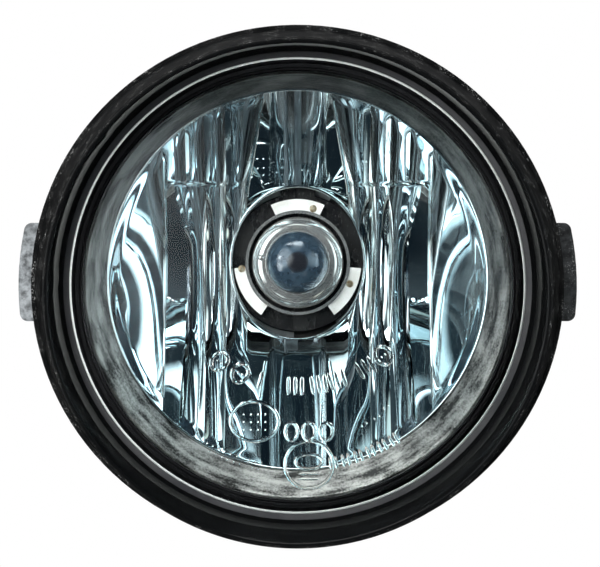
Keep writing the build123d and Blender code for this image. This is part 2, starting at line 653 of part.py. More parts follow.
def bulb_base():
    """Plastic base: boss with three lugs, grip flange, body and downward connector shroud."""
    flange_end = BASE_FLANGE_Y + BASE_FLANGE_THICKNESS
    base = rod(BASE_RADIUS, BASE_FRONT_Y, flange_end, z=BULB_Z)
    base += rod(BASE_FLANGE_RADIUS, BASE_FLANGE_Y, flange_end, z=BULB_Z)
    lug_end = HOLDER_FRONT_Y - TWIST_GAP
    lug_start = lug_end - LUG_THICKNESS
    lug_ring = tube(LUG_RADIUS, BASE_RADIUS - 1, lug_start, lug_end, z=BULB_Z)
    for angle in LUG_ANGLES:
        base += lug_ring & wedge(angle, LUG_WIDTH_ANGLE, lug_start, lug_end)
    base += rod(BASE_REAR_RADIUS, flange_end, BASE_REAR_END_Y, z=BULB_Z)
    half = CONNECTOR_HALF_WIDTH
    shroud = block(
        (-half, CONNECTOR_FRONT_Y, CONNECTOR_BOTTOM_Z), (half, CONNECTOR_REAR_Y, BULB_Z)
    )
    shroud = fillet(shroud.edges().filter_by(Axis.Z), CONNECTOR_FILLET)
    base += shroud
    base += block(
        (-LATCH_HALF_WIDTH, CONNECTOR_REAR_Y - CONNECTOR_WALL, LATCH_LOW_Z),
        (LATCH_HALF_WIDTH, CONNECTOR_REAR_Y + LATCH_HEIGHT, LATCH_HIGH_Z),
    )
    cavity_half = half - CONNECTOR_WALL
    base -= block(
        (-cavity_half, CONNECTOR_FRONT_Y + CONNECTOR_WALL, CONNECTOR_BOTTOM_Z - 1),
        (cavity_half, CONNECTOR_REAR_Y - CONNECTOR_WALL, CAVITY_TOP_Z),
    )
    return base


def bulb_o_ring():
    ring = Rot(90, 0, 0) * Torus(O_RING_RADIUS, O_RING_SECTION_RADIUS)
    return Pos(0, BASE_FLANGE_Y - O_RING_SECTION_RADIUS, BULB_Z) * ring


def bulb_terminals():
    """Two contact blades in the connector's cavity."""
    middle_y = (CONNECTOR_FRONT_Y + CONNECTOR_REAR_Y) / 2
    blades = []
    for side in (-1, 1):
        x = side * BLADE_SPACING / 2
        low = (x - BLADE_WIDTH / 2, middle_y - BLADE_THICKNESS / 2, BLADE_BOTTOM_Z)
        high = (x + BLADE_WIDTH / 2, middle_y + BLADE_THICKNESS / 2, CAVITY_TOP_Z)
        blades.append(block(low, high))
    return Compound(children=blades)


NODES = {
    "mounting_frame": mounting_frame(),
    "pivot_pin_left": pivot_pin(-1),
    "pivot_pin_right": pivot_pin(1),
    "adjuster_screw": adjuster_screw(),
    "adjuster_clip": adjuster_clip(),
    "adjuster_knob": adjuster_knob(),
    "adjuster_nut": adjuster_nut(),
    "lens": lens(),
    "lens_seal": lens_seal(),
    "reflector": reflector(),
    "rear_housing": rear_housing(),
    "pivot_bush_left": pivot_bush(-1),
    "pivot_bush_right": pivot_bush(1),
    "vent_membrane": vent_membrane(),
    "vent_cap": vent_cap(),
    "holder_gasket": holder_gasket(),
    "bulb_holder": bulb_holder(),
    "holder_screws": holder_screws(),
    "bulb_glass": bulb_glass(),
    "bulb_tip_coating": bulb_tip_coating(),
    "bulb_filament": bulb_filament(),
    "bulb_lead_wires": bulb_lead_wires(),
    "bulb_collar": bulb_collar(),
    "bulb_base_ring": bulb_base_ring(),
    "bulb_support_tabs": bulb_support_tabs(),
    "bulb_base": bulb_base(),
    "bulb_o_ring": bulb_o_ring(),
    "bulb_terminals": bulb_terminals(),
}

os.makedirs("parts", exist_ok=True)
for name, shape in NODES.items():
    export_step(shape, f"parts/{name}.step")
    print(f"{name}: {shape.volume:.1f} mm3")
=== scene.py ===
from math import asin, cos, degrees, hypot, pi, radians, sin, sqrt

import bmesh
import bpy
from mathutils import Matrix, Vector


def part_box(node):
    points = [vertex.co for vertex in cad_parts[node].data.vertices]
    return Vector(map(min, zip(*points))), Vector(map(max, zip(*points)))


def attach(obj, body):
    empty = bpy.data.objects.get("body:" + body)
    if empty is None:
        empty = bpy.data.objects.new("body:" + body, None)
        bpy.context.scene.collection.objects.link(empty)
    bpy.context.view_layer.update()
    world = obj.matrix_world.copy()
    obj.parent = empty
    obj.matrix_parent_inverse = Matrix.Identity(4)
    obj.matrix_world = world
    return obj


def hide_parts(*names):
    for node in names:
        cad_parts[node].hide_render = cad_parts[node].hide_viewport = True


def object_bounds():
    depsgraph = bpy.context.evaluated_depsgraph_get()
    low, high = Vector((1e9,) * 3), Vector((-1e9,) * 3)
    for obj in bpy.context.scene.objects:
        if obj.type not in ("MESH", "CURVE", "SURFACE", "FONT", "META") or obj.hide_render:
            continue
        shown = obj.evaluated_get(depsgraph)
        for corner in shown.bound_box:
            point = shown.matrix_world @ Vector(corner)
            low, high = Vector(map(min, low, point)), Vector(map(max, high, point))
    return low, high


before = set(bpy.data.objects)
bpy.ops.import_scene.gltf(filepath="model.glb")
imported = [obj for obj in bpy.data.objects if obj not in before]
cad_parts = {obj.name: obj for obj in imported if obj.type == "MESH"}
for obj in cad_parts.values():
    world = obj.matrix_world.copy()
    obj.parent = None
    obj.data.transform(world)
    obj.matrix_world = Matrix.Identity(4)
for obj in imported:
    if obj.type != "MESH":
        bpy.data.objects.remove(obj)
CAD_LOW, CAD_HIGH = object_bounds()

# Round automotive fog lamp, in metres: glass lens, fluted reflector with an end-on bulb, glossy
# mounting frame with side ears, rear housing and a bottom aiming screw. The lamp faces -Y, +Z is up.

MM = 0.001
SCENE = bpy.context.scene

# Places read from the CAD frame
LENS_LOW, LENS_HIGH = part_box("lens")
REFLECTOR_LOW, REFLECTOR_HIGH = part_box("reflector")
BULB_LOW, BULB_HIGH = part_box("bulb_glass")
TABS_LOW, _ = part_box("bulb_support_tabs")
COLLAR_LOW, COLLAR_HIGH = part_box("bulb_collar")
SCREW_LOW, SCREW_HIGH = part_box("adjuster_screw")

# Mounting frame: the centre height and the edge of its polished front ring, and where its ears begin
RING_Z = -1.45 * MM
POLISH_RADIUS = 49.2 * MM
EAR_X = 50.3 * MM
EAR_Y = 14 * MM

# Lens
LENS_RADIUS = LENS_HIGH.x
LENS_APEX_Y = LENS_LOW.y
LENS_END_Y = LENS_HIGH.y
LENS_DOME_RADIUS = 130 * MM
LENS_THICKNESS = 2.8 * MM
LENS_SHOULDER = 3.0 * MM
LENS_CHAMFER = 0.3 * MM
LENS_FILLET = 1.0 * MM
MARK_WIDTH = 0.72 * MM
MARK_RISE = 0.42 * MM

# Reflector bowl: a paraboloid whose circles shift down from the bulb axis to the aperture's centre.
# BOWL_FOUR_F is four times its focal length.
BULB_Z = (BULB_LOW.z + BULB_HIGH.z) / 2
APERTURE_Z = 1.2 * MM
APERTURE_RADIUS = 37.2 * MM
BOWL_VERTEX_Y = 34.1 * MM
BOWL_FOUR_F = 47.0 * MM
BOWL_END_RADIUS = 13.2 * MM
HOLE_HALF_WIDTH = 13.6 * MM
HOLE_HALF_HEIGHT = 15.6 * MM
SHELL_DEPTH = 1.3 * MM
OUTLINE_RADIUS = 37.5 * MM
FUNNEL_FRONT_RADIUS = 41.2 * MM
LIP_RADIUS = 0.45 * MM

# Channel of the reflector, in the middle: its half-widths, how far it stands forward, and the
# heights between which it narrows above the bulb and below it
CHANNEL_HALF_WIDTH = 10.2 * MM
CHANNEL_TOP_HALF_WIDTH = 6.6 * MM
CHANNEL_FOOT_HALF_WIDTH = 7.2 * MM
CHANNEL_RISE = 0.25 * MM
CHANNEL_TOP_ZONE = (19.3 * MM, 38.4 * MM)
CHANNEL_FOOT_ZONE = (-13 * MM, -26 * MM)

# Flutes: five strips on each side of the channel, with these half-widths between them. A ledge
# crosses them above the bulb, their shapes change again over the foot zone, and their crowns
# fade in the rim zone along the outline.
STRIP_EDGES = (14.4 * MM, 18.4 * MM, 22.2 * MM, 26.6 * MM)
STRIP_GAP = 0.02 * MM
LEDGE_Z = 20.3 * MM
LEDGE_WIDTH = 0.5 * MM
FOOT_ZONE = (-4 * MM, -18 * MM)
RIM_ZONE = 2.5 * MM
RIDGE_RADIUS = 0.34 * MM

# The fourth strip is a dark blade: level from side to side above its step zone, and narrower
# towards both of its ends. The fifth is the smooth side lobe.
BLADE = 3
BLADE_LEVEL_X = 25.2 * MM
BLADE_STEP_ZONE = (-3.6 * MM, -2.4 * MM)
BLADE_TOP_ZONE = (7 * MM, 22 * MM)
BLADE_TOP_CUT = 2.6 * MM
BLADE_FOOT_ZONE = (-9 * MM, -27 * MM)
BLADE_FOOT_CUT = 1.0 * MM
LOBE = 4

# Strips outwards from the channel: crown and set-back of the flute above the ledge, between the
# ledge and the foot zone, and at the foot, in millimetres
STRIP_SHAPES = (
    {"top": (0.60, 0.2), "middle": (0.50, 0.2), "foot": (0.20, 0.2)},
    {"top": (0.45, 0.0), "middle": (0.70, 0.35), "foot": (0.45, 0.15)},
    {"top": (0.35, 0.3), "middle": (0.45, 0.0), "foot": (0.45, 0.2)},
    {"top": (0.30, 0.2), "middle": (0.04, 0.4), "foot": (0.05, 0.7)},
    {"top": (0.55, 0.0), "middle": (0.55, 0.0), "foot": (0.55, 0.0)},
)

# Soft round studio lights in front of the lamp, shown by reflections: degrees to the right of
# straight ahead, degrees up, the bright core's half-angle, the half-angle where it ends, colour
SOFT_DISCS = (
    (-41, 12, 13, 33, (4.0, 4.2, 4.3)),
    (45, 8, 8, 24, (1.8, 2.1, 2.2)),
    (0, 47, 6, 17, (1.5, 1.6, 1.6)),
    (-54, -12, 5, 14, (6.0, 6.0, 6.0)),
    (10, 61, 8, 15, (1.0, 1.0, 1.0)),
    (-16, -27, 1, 7, (1.0, 1.1, 1.1)),
    (22, -30, 1, 7, (1.0, 1.0, 0.9)),
)


def between(first, second, share):
    return first + (second - first) * share


def shares(steps):
    """Evenly spaced shares from 0 to 1."""
    return [k / steps for k in range(steps + 1)]


def turns(count):
    """Evenly spaced angles round a circle."""
    return [2 * pi * k / count for k in range(count)]


def ease(value):
    """Smooth step from 0 to 1, level at both ends."""
    value = min(max(value, 0.0), 1.0)
    return value * value * (3 - 2 * value)


def ease_over(zone, z):
    """Smooth step from 0 at the zone's first height to 1 at its second."""
    start, end = zone
    return ease((z - start) / (end - start))


# ---- materials


class Nodes:
    """Short calls for the nodes of one node tree."""

    def __init__(self, tree):
        self.tree = tree
        self.nodes = tree.nodes

    def node(self, kind, **settings):
        made = self.nodes.new(kind)
        for key, value in settings.items():
            setattr(made, key, value)
        return made

    def join(self, output, target):
        self.tree.links.new(output, target)

    def spread(self, value, from_low, from_high, to_low=0.0, to_high=1.0, easing="LINEAR"):
        """Maps a value from one span to another, clamped."""
        span = self.node("ShaderNodeMapRange", interpolation_type=easing)
        ends = {"From Min": from_low, "From Max": from_high, "To Min": to_low, "To Max": to_high}
        for socket, end in ends.items():
            span.inputs[socket].default_value = end
        self.join(value, span.inputs["Value"])
        return span.outputs["Result"]

    def calc(self, operation, first, second=None):
        """One Math node on outputs or plain numbers."""
        maths = self.node("ShaderNodeMath", operation=operation)
        for index, term in enumerate((first, second)):
            if isinstance(term, (int, float)):
                maths.inputs[index].default_value = term
            elif term is not None:
                self.join(term, maths.inputs[index])
        return maths.outputs[0]

    def product(self, *terms):
        result = terms[0]
        for term in terms[1:]:
            result = self.calc("MULTIPLY", result, term)
        return result

    def blend(self, factor, first, second, kind="MIX"):
        """A colour between two, each a plain colour or an output. ADD puts the second over the first."""
        mix = self.node("ShaderNodeMix", data_type="RGBA", blend_type=kind)
        self.join(factor, mix.inputs["Factor"])
        for socket, colour in ((6, first), (7, second)):
            if isinstance(colour, tuple):
                mix.inputs[socket].default_value = (*colour, 1)
            else:
                self.join(colour, mix.inputs[socket])
        return mix.outputs[2]

    def switch(self, ray, shader, other, output):
        """Sends one shader to the tree's output, or the other for the rays of the named kind."""
        path = self.node("ShaderNodeLightPath")
        mix = self.node("ShaderNodeMixShader")
        self.join(path.outputs[ray], mix.inputs[0])
        self.join(shader.outputs[0], mix.inputs[1])
        self.join(other.outputs[0], mix.inputs[2])
        self.join(mix.outputs[0], self.nodes[output].inputs["Surface"])


class Shader(Nodes):
    """A Principled material, with short calls for what feeds it."""

    def __init__(self, name, sockets):
        self.material = bpy.data.materials.new(name)
        self.material.use_nodes = True
        super().__init__(self.material.node_tree)
        self.bsdf = self.nodes["Principled BSDF"]
        self.coords = self.node("ShaderNodeTexCoord").outputs["Object"]
        for socket, value in sockets.items():
            self.bsdf.inputs[socket].default_value = value

    def feed(self, socket, output):
        self.join(output, self.bsdf.inputs[socket])

    def noise(self, size, detail=3.0, roughness=0.55, stretch=(1, 1, 1)):
        """Noise with features about size metres across, drawn out along the axes in stretch."""
        mapping = self.node("ShaderNodeMapping")
        mapping.inputs["Scale"].default_value = [1 / (size * axis) for axis in stretch]
        self.join(self.coords, mapping.inputs["Vector"])
        noise = self.node("ShaderNodeTexNoise")
        noise.inputs["Scale"].default_value = 1.0
        noise.inputs["Detail"].default_value = detail
        noise.inputs["Roughness"].default_value = roughness
        self.join(mapping.outputs["Vector"], noise.inputs["Vector"])
        return noise.outputs["Fac"]

    def bump(self, height, distance, strength=1.0, below=None):
        bump = self.node("ShaderNodeBump")
        bump.inputs["Distance"].default_value = distance
        bump.inputs["Strength"].default_value = strength
        self.join(height, bump.inputs["Height"])
        if below is not None:
            self.join(below, bump.inputs["Normal"])
        return bump.outputs["Normal"]

    def colour(self, pattern, first, second, low=0.3, high=0.7):
        """Base colour that goes from first to second while the pattern goes from low to high."""
        factor = self.spread(pattern, low, high)
        self.feed("Base Color", self.blend(factor, first, second))

    def roughness(self, pattern, smooth, rough, low=0.3, high=0.7):
        """Roughness that goes from smooth to rough while the pattern goes from low to high."""
        self.feed("Roughness", self.spread(pattern, low, high, smooth, rough))

    def relief(self, height, distance, strength):
        self.feed("Normal", self.bump(height, distance, strength))

    def axis_distance(self, z):
        """Distance from the line parallel to Y at x = 0 and this height, and the coordinates."""
        axes = self.node("ShaderNodeSeparateXYZ")
        self.join(self.coords, axes.inputs[0])
        across = self.calc("SUBTRACT", axes.outputs["X"], 0.0)
        up = self.calc("SUBTRACT", axes.outputs["Z"], z)
        squares = self.calc("ADD", self.product(across, across), self.product(up, up))
        return self.calc("SQRT", squares), axes.outputs

    def let_shadows_through(self):
        """Glass that light crosses freely: shadow rays see it as clear."""
        clear = self.node("ShaderNodeBsdfTransparent")
        self.switch("Is Shadow Ray", self.bsdf, clear, "Material Output")


def frame_plastic():
    """Polished black front ring. Elsewhere satin, with fine pale specks and rub marks. The ears are pale:
    a dusty mottle, with painted light that makes the left ear and faces turned to the front paler.
    """
    shader = Shader("frame_plastic", {"IOR": 1.5, "Specular IOR Level": 0.06})
    radius, axes = shader.axis_distance(RING_Z)
    satin = shader.spread(radius, POLISH_RADIUS - 0.3 * MM, POLISH_RADIUS + 0.3 * MM)
    cloud = shader.noise(6 * MM, detail=5.0)

    worn = shader.product(shader.spread(cloud, 0.4, 0.7, 0.0, 0.6), satin)
    plain = shader.blend(worn, (0.0016, 0.0017, 0.0018), (0.009, 0.0088, 0.0085))
    specks = shader.spread(shader.noise(0.28 * MM, detail=1.0), 0.60, 0.68)
    rub = shader.spread(shader.noise(3.0 * MM, detail=6.0, roughness=0.7), 0.50, 0.72)
    dusty = shader.blend(shader.product(specks, rub, satin), plain, (0.27, 0.27, 0.265))

    # Pale ears: a mottle of dust, with painted light: paler on the left ear than the right, and only on
    # faces turned to the front.
    beside = shader.spread(shader.calc("ABSOLUTE", axes["X"]), EAR_X, EAR_X + 0.9 * MM)
    behind = shader.spread(axes["Y"], EAR_Y, EAR_Y + 3 * MM)
    left = shader.spread(axes["X"], -1 * MM, 1 * MM, 1.0, 0.14)
    facing = shader.node("ShaderNodeSeparateXYZ")
    shader.join(shader.node("ShaderNodeTexCoord").outputs["Normal"], facing.inputs[0])
    front = shader.spread(facing.outputs["Y"], -0.6, -0.25, 1.0, 0.0)
    mottle = shader.spread(shader.noise(1.7 * MM, detail=6.0, roughness=0.65), 0.38, 0.64, 0.25, 1.0)
    ear_dust_and_painted_light = shader.product(beside, behind, left, front, mottle)
    shader.feed("Base Color", shader.blend(ear_dust_and_painted_light, dusty, (0.17, 0.18, 0.187)))

    rough = shader.node("ShaderNodeMix", data_type="FLOAT")
    shader.join(satin, rough.inputs[0])
    shader.join(shader.spread(shader.noise(9 * MM), 0.3, 0.7, 0.05, 0.085), rough.inputs[2])
    shader.join(shader.spread(cloud, 0.3, 0.7, 0.34, 0.46), rough.inputs[3])
    shader.feed("Roughness", rough.outputs[0])
    shader.relief(shader.product(shader.noise(0.35 * MM, detail=2.0), satin), 0.05 * MM, 0.5)
    return shader.material


def housing_plastic():
    """Black moulded plastic with a fine spark-eroded grain."""
    shader = Shader("housing_plastic", {"IOR": 1.48})
    shader.colour(shader.noise(9 * MM, detail=5.0), (0.018, 0.018, 0.02), (0.036, 0.036, 0.037), low=0.35)
    shader.roughness(shader.noise(2.5 * MM), 0.42, 0.56)
    grain = shader.bump(shader.noise(0.45 * MM, detail=2.0), 0.09 * MM, 0.7)
    shader.feed("Normal", shader.bump(shader.noise(14 * MM, detail=1.0), 0.5 * MM, 0.15, below=grain))
    return shader.material


def lens_glass():
    """Clear pressed glass with a faint green cast and slow waves in its surface."""
    sockets = {
        "Base Color": (0.965, 0.99, 0.982, 1),
        "IOR": 1.5,
        "Transmission Weight": 1.0,
        "Specular Tint": (0.12, 0.12, 0.125, 1),
    }
    shader = Shader("lens_glass", sockets)
    shader.roughness(shader.noise(5 * MM), 0.0, 0.012, low=0.4)
    shader.relief(shader.noise(11 * MM, detail=1.0), 0.10 * MM, 0.10)
    shader.let_shadows_through()
    return shader.material


def shoulder_highlight_glass():
    """Pale green frosted band on the glass's shoulder, with fine chips: a painted highlight standing for
    the shine along the shoulder.
    """
    shader = Shader("shoulder_highlight_glass", {"IOR": 1.5, "Coat Weight": 0.5, "Coat Roughness": 0.1})
    chips = shader.noise(0.9 * MM, detail=4.0)
    # Painted highlight: this pale colour stands for the bright line along the lens's shoulder.
    shader.colour(chips, (0.80, 0.86, 0.82), (0.93, 0.96, 0.94), 0.35, 0.65)
    shader.roughness(chips, 0.35, 0.6)
    shader.relief(chips, 0.06 * MM, 0.5)
    return shader.material


def adhesive():
    """Black adhesive bead, smooth and slightly lumpy."""
    shader = Shader("adhesive", {"IOR": 1.5})
    shader.colour(shader.noise(1.5 * MM), (0.006, 0.006, 0.007), (0.016, 0.016, 0.017), 0, 1)
    shader.roughness(shader.noise(2 * MM), 0.10, 0.22)
    shader.relief(shader.noise(1.6 * MM), 0.25 * MM, 0.5)
    return shader.material


def mirror():
    """Vacuum-metallised mirror: bright, with a faint cool cast and slow ripples."""
    shader = Shader("reflector_mirror", {"Metallic": 1.0})
    shader.colour(shader.noise(4 * MM, detail=4.0), (0.74, 0.835, 0.86), (0.82, 0.895, 0.91))
    shader.roughness(shader.noise(2.2 * MM, detail=4.0), 0.0, 0.04, 0.35, 0.75)
    shader.relief(shader.noise(5.0 * MM, detail=1.0), 0.05 * MM, 0.06)
    return shader.material


def satin_metal():
    """The reflector's front ring: the same coating over a grained moulding, so it looks like fine sand.

    Broad streaks run round the ring, and painted shade darkens it towards the top."""
    shader = Shader("reflector_satin", {"Metallic": 1.0})
    grains = shader.noise(0.42 * MM, detail=2.0)
    cloud = shader.noise(5.5 * MM, detail=4.0)
    radius, axes = shader.axis_distance(APERTURE_Z)
    brushed = shader.node("ShaderNodeCombineXYZ")
    shader.join(shader.product(radius, 7.0), brushed.inputs[0])
    shader.join(axes["X"], brushed.inputs[1])
    shader.join(axes["Z"], brushed.inputs[2])
    streaks = shader.node("ShaderNodeTexNoise")
    streaks.inputs["Scale"].default_value = 1 / (7 * MM)
    streaks.inputs["Detail"].default_value = 3.0
    shader.join(brushed.outputs[0], streaks.inputs["Vector"])
    tone = shader.calc("ADD", shader.product(grains, 0.25), shader.product(cloud, 0.25))
    tone = shader.calc("ADD", tone, shader.product(streaks.outputs["Fac"], 0.5))
    metal = shader.blend(shader.spread(tone, 0.42, 0.60), (0.045, 0.046, 0.045), (0.54, 0.54, 0.52))
    # Painted shade: the ring's colour goes towards near-black at the top.
    painted_shade_top = shader.spread(axes["Z"], -34 * MM, 38 * MM, 0.0, 0.8)
    shader.feed("Base Color", shader.blend(painted_shade_top, metal, (0.018, 0.019, 0.020)))
    shader.roughness(cloud, 0.34, 0.46)
    shader.relief(grains, 0.06 * MM, 0.5)
    return shader.material


def zinc_steel():
    """Zinc-plated steel of the pins and screws."""
    shader = Shader("steel", {"Metallic": 1.0})
    shader.colour(shader.noise(2.5 * MM, detail=5.0), (0.34, 0.35, 0.36), (0.54, 0.545, 0.54))
    shader.roughness(shader.noise(1.2 * MM, detail=4.0), 0.34, 0.50)
    shader.relief(shader.noise(0.5 * MM), 0.03 * MM, 0.4)
    return shader.material


def natural_plastic():
    """Unpigmented moulded plastic, slightly translucent and yellowish."""
    sockets = {"IOR": 1.5, "Subsurface Weight": 0.08, "Subsurface Scale": 1.5 * MM}
    shader = Shader("aiming_plastic", sockets)
    shader.colour(shader.noise(5 * MM, detail=4.0), (0.48, 0.465, 0.41), (0.62, 0.605, 0.55))
    shader.roughness(shader.noise(1.5 * MM), 0.36, 0.5)
    shader.relief(shader.noise(0.6 * MM), 0.04 * MM, 0.5)
    return shader.material


def seal_rubber():
    """Dull black rubber with a fine grain."""
    shader = Shader("seal_rubber", {"IOR": 1.45})
    shader.colour(shader.noise(3 * MM, detail=4.0), (0.020, 0.020, 0.021), (0.050, 0.049, 0.047), 0, 1)
    shader.roughness(shader.noise(1.5 * MM), 0.58, 0.75)
    shader.relief(shader.noise(0.3 * MM, detail=2.0), 0.05 * MM, 0.7)
    return shader.material


def membrane():
    """White breathable film with a fibrous surface."""
    shader = Shader("membrane", {"Sheen Weight": 0.2})
    fibres = shader.noise(0.25 * MM, detail=4.0, stretch=(3, 1, 1))
    shader.colour(fibres, (0.70, 0.70, 0.68), (0.88, 0.88, 0.86), 0, 1)
    shader.roughness(fibres, 0.7, 0.9)
    shader.relief(fibres, 0.06 * MM, 0.8)
    return shader.material


def bulb_glass():
    """Clear thin glass, faintly blue."""
    sockets = {"Base Color": (0.93, 0.965, 0.99, 1), "IOR": 1.47, "Transmission Weight": 1.0}
    shader = Shader("bulb_glass", sockets)
    shader.roughness(shader.noise(3 * MM), 0.0, 0.01, low=0.4)
    shader.relief(shader.noise(4 * MM, detail=1.0), 0.08 * MM, 0.15)
    shader.let_shadows_through()
    return shader.material


def bulb_coating():
    """Dark blue-grey paint on the bulb's tip, with a near-black disc at the middle: a painted reflection
    of the dark camera lens.
    """
    shader = Shader("bulb_coating", {"Coat Weight": 0.6, "Coat Roughness": 0.04, "Metallic": 0.35})
    radius, _ = shader.axis_distance(BULB_Z)
    # Painted reflection: inside this radius the tip is near-black, standing for the dark camera lens
    # reflected in it.
    outside = shader.spread(radius, 1.7 * MM, 2.3 * MM)
    cloud = shader.noise(1.6 * MM, detail=4.0)
    blue = shader.blend(shader.spread(cloud, 0.3, 0.7), (0.014, 0.026, 0.040), (0.030, 0.050, 0.070))
    shader.feed("Base Color", shader.blend(outside, (0.010, 0.011, 0.014), blue))
    shader.roughness(cloud, 0.10, 0.20)
    shader.relief(shader.noise(0.9 * MM), 0.02 * MM, 0.2)
    return shader.material


def bulb_steel():
    """Bright rolled sheet steel, with faint roll marks and heat tint."""
    shader = Shader("bulb_steel", {"Metallic": 0.92})
    lines = shader.noise(0.7 * MM, detail=3.0)
    tint = shader.spread(shader.noise(4 * MM, detail=3.0), 0.55, 0.75, 0, 0.5)
    sheet = shader.blend(lines, (0.72, 0.715, 0.70), (0.90, 0.895, 0.88))
    shader.feed("Base Color", shader.blend(tint, sheet, (0.74, 0.68, 0.56)))
    shader.roughness(lines, 0.10, 0.18)
    shader.relief(lines, 0.01 * MM, 0.2)
    return shader.material


def tab_steel():
    """Dull bright sheet steel of the support tabs, with soft blotches."""
    shader = Shader("tab_steel", {"Metallic": 0.45})
    blotch = shader.noise(2.4 * MM, detail=4.0)
    shader.colour(blotch, (0.78, 0.77, 0.73), (0.93, 0.93, 0.91), 0.35, 0.65)
    shader.roughness(blotch, 0.30, 0.42)
    shader.relief(shader.noise(0.5 * MM), 0.03 * MM, 0.4)
    return shader.material


def filament_wire():
    """Grey coiled tungsten."""
    shader = Shader("filament", {"Metallic": 1.0})
    coils = shader.noise(0.22 * MM, detail=1.0, stretch=(4, 1, 4))
    shader.colour(coils, (0.20, 0.20, 0.215), (0.46, 0.46, 0.47), 0, 1)
    shader.roughness(coils, 0.3, 0.5)
    shader.relief(coils, 0.08 * MM, 0.8)
    return shader.material


def bulb_plastic():
    """Glass-filled black plastic: flow marks and pale fibre flecks."""
    shader = Shader("bulb_plastic", {"IOR": 1.5})
    flow = shader.noise(3.5 * MM, detail=5.0, stretch=(1, 1, 3))
    flecks = shader.spread(shader.noise(0.3 * MM, detail=1.0, stretch=(1, 1, 3)), 0.64, 0.72, 0, 0.35)
    plain = shader.blend(shader.spread(flow, 0.3, 0.7), (0.004, 0.004, 0.0045), (0.009, 0.009, 0.009))
    shader.feed("Base Color", shader.blend(flecks, plain, (0.20, 0.20, 0.19)))
    shader.roughness(flow, 0.20, 0.34)
    shader.relief(shader.noise(0.5 * MM), 0.06 * MM, 0.5)
    return shader.material


def contact_brass():
    """Brass of the terminals, with fine drawing marks."""
    shader = Shader("contact_brass", {"Metallic": 1.0})
    cloud = shader.noise(1.5 * MM, detail=4.0)
    shader.colour(cloud, (0.62, 0.53, 0.33), (0.80, 0.74, 0.56))
    shader.roughness(cloud, 0.2, 0.36)
    shader.relief(shader.noise(0.4 * MM, stretch=(1, 1, 6)), 0.02 * MM, 0.4)
    return shader.material


def weld_steel():
    """Weld spot: blued and browned steel."""
    shader = Shader("weld_steel", {"Metallic": 1.0})
    cloud = shader.noise(0.7 * MM, detail=3.0)
    shader.colour(cloud, (0.34, 0.22, 0.12), (0.62, 0.55, 0.42), 0.35, 0.65)
    shader.roughness(cloud, 0.3, 0.5)
    shader.relief(cloud, 0.05 * MM, 0.6)
    return shader.material


SLOT_MATERIALS = {
    "frame_plastic": frame_plastic(),
    "housing_plastic": housing_plastic(),
    "lens_glass": lens_glass(),
    "adhesive": adhesive(),
    "reflector_coat": mirror(),
    "steel": zinc_steel(),
    "aiming_plastic": natural_plastic(),
    "seal_rubber": seal_rubber(),
    "membrane": membrane(),
    "bulb_glass": bulb_glass(),
    "bulb_coating": bulb_coating(),
    "bulb_steel": bulb_steel(),
    "filament": filament_wire(),
    "bulb_plastic": bulb_plastic(),
    "contact_brass": contact_brass(),
}


def dress_cad_nodes():
    """Gives every CAD node the finished material of its record slot, and the tabs their own."""
    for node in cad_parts.values():
        for index, slot in enumerate(node.data.materials):
            node.data.materials[index] = SLOT_MATERIALS[slot.name.split(".")[0]]
    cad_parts["bulb_support_tabs"].data.materials[0] = tab_steel()


# ---- mesh helpers


def add_piece(name, points, faces, body, slot, sharp_angle, material=None):
    """A closed mesh piece with smooth shading broken at sharp edges, riding on a body.

    It takes the slot's material, unless it is given its own."""
    mesh = bpy.data.meshes.new(name)
    mesh.from_pydata(points, [], faces)
    shape = bmesh.new()
    shape.from_mesh(mesh)
    bmesh.ops.recalc_face_normals(shape, faces=shape.faces)
    shape.to_mesh(mesh)
    shape.free()
    mesh.shade_smooth()
    mesh.set_sharp_from_angle(angle=radians(sharp_angle))
    mesh.materials.append(material or SLOT_MATERIALS[slot])
    piece = bpy.data.objects.new(name, mesh)
    SCENE.collection.objects.link(piece)
    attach(piece, body)
    return piece


def join_rings(faces, start, rings, count, close=False):
    """Adds the faces between rings of count points each. close also joins the last ring to the first."""
    for row in range(rings if close else rings - 1):
        here = start + row * count
        there = start + (row + 1) % rings * count
        for k in range(count):
            after = (k + 1) % count
            faces.append((here + k, here + after, there + after, there + k))


def cap_end(points, faces, start, count, tip):
    """Closes a ring of count points with a fan to its tip."""
    points.append(tip)
    for k in range(count):
        faces.append((start + k, start + (k + 1) % count, len(points) - 1))


def sweep_rings(rings, tips=()):
    """Points and faces of a skin over rings of equal length. It ends in two tips, or else joins up."""
    count = len(rings[0])
    points = [point for ring in rings for point in ring]
    faces = []
    join_rings(faces, 0, len(rings), count, close=not tips)
    for start, tip in zip((0, (len(rings) - 1) * count), tips):
        cap_end(points, faces, start, count, tip)
    return points, faces


def level_ring(y, radius, z, segments):
    """Circle round a line parallel to Y, at a depth y."""
    return [(radius * cos(turn), y, z + radius * sin(turn)) for turn in turns(segments)]


def arc_points(centre, radius, start, end, steps):
    """(r, y) points on a circle, between two angles in degrees from the r axis."""
    angles = [radians(between(start, end, share)) for share in shares(steps)]
    return [(centre[0] + radius * cos(a), centre[1] + radius * sin(a)) for a in angles]


# ---- lens


def dome_y(radius, dome=LENS_DOME_RADIUS):
    """Depth at this radius of a dome with the same centre as the lens's outer face."""
    return LENS_APEX_Y + LENS_DOME_RADIUS - sqrt(dome * dome - radius * radius)


def shoulder_centre():
    """Centre (r, y) of the shoulder's arc, which touches both the dome and the skirt."""
    radius = LENS_RADIUS - LENS_SHOULDER
    return radius, dome_y(radius, LENS_DOME_RADIUS - LENS_SHOULDER)


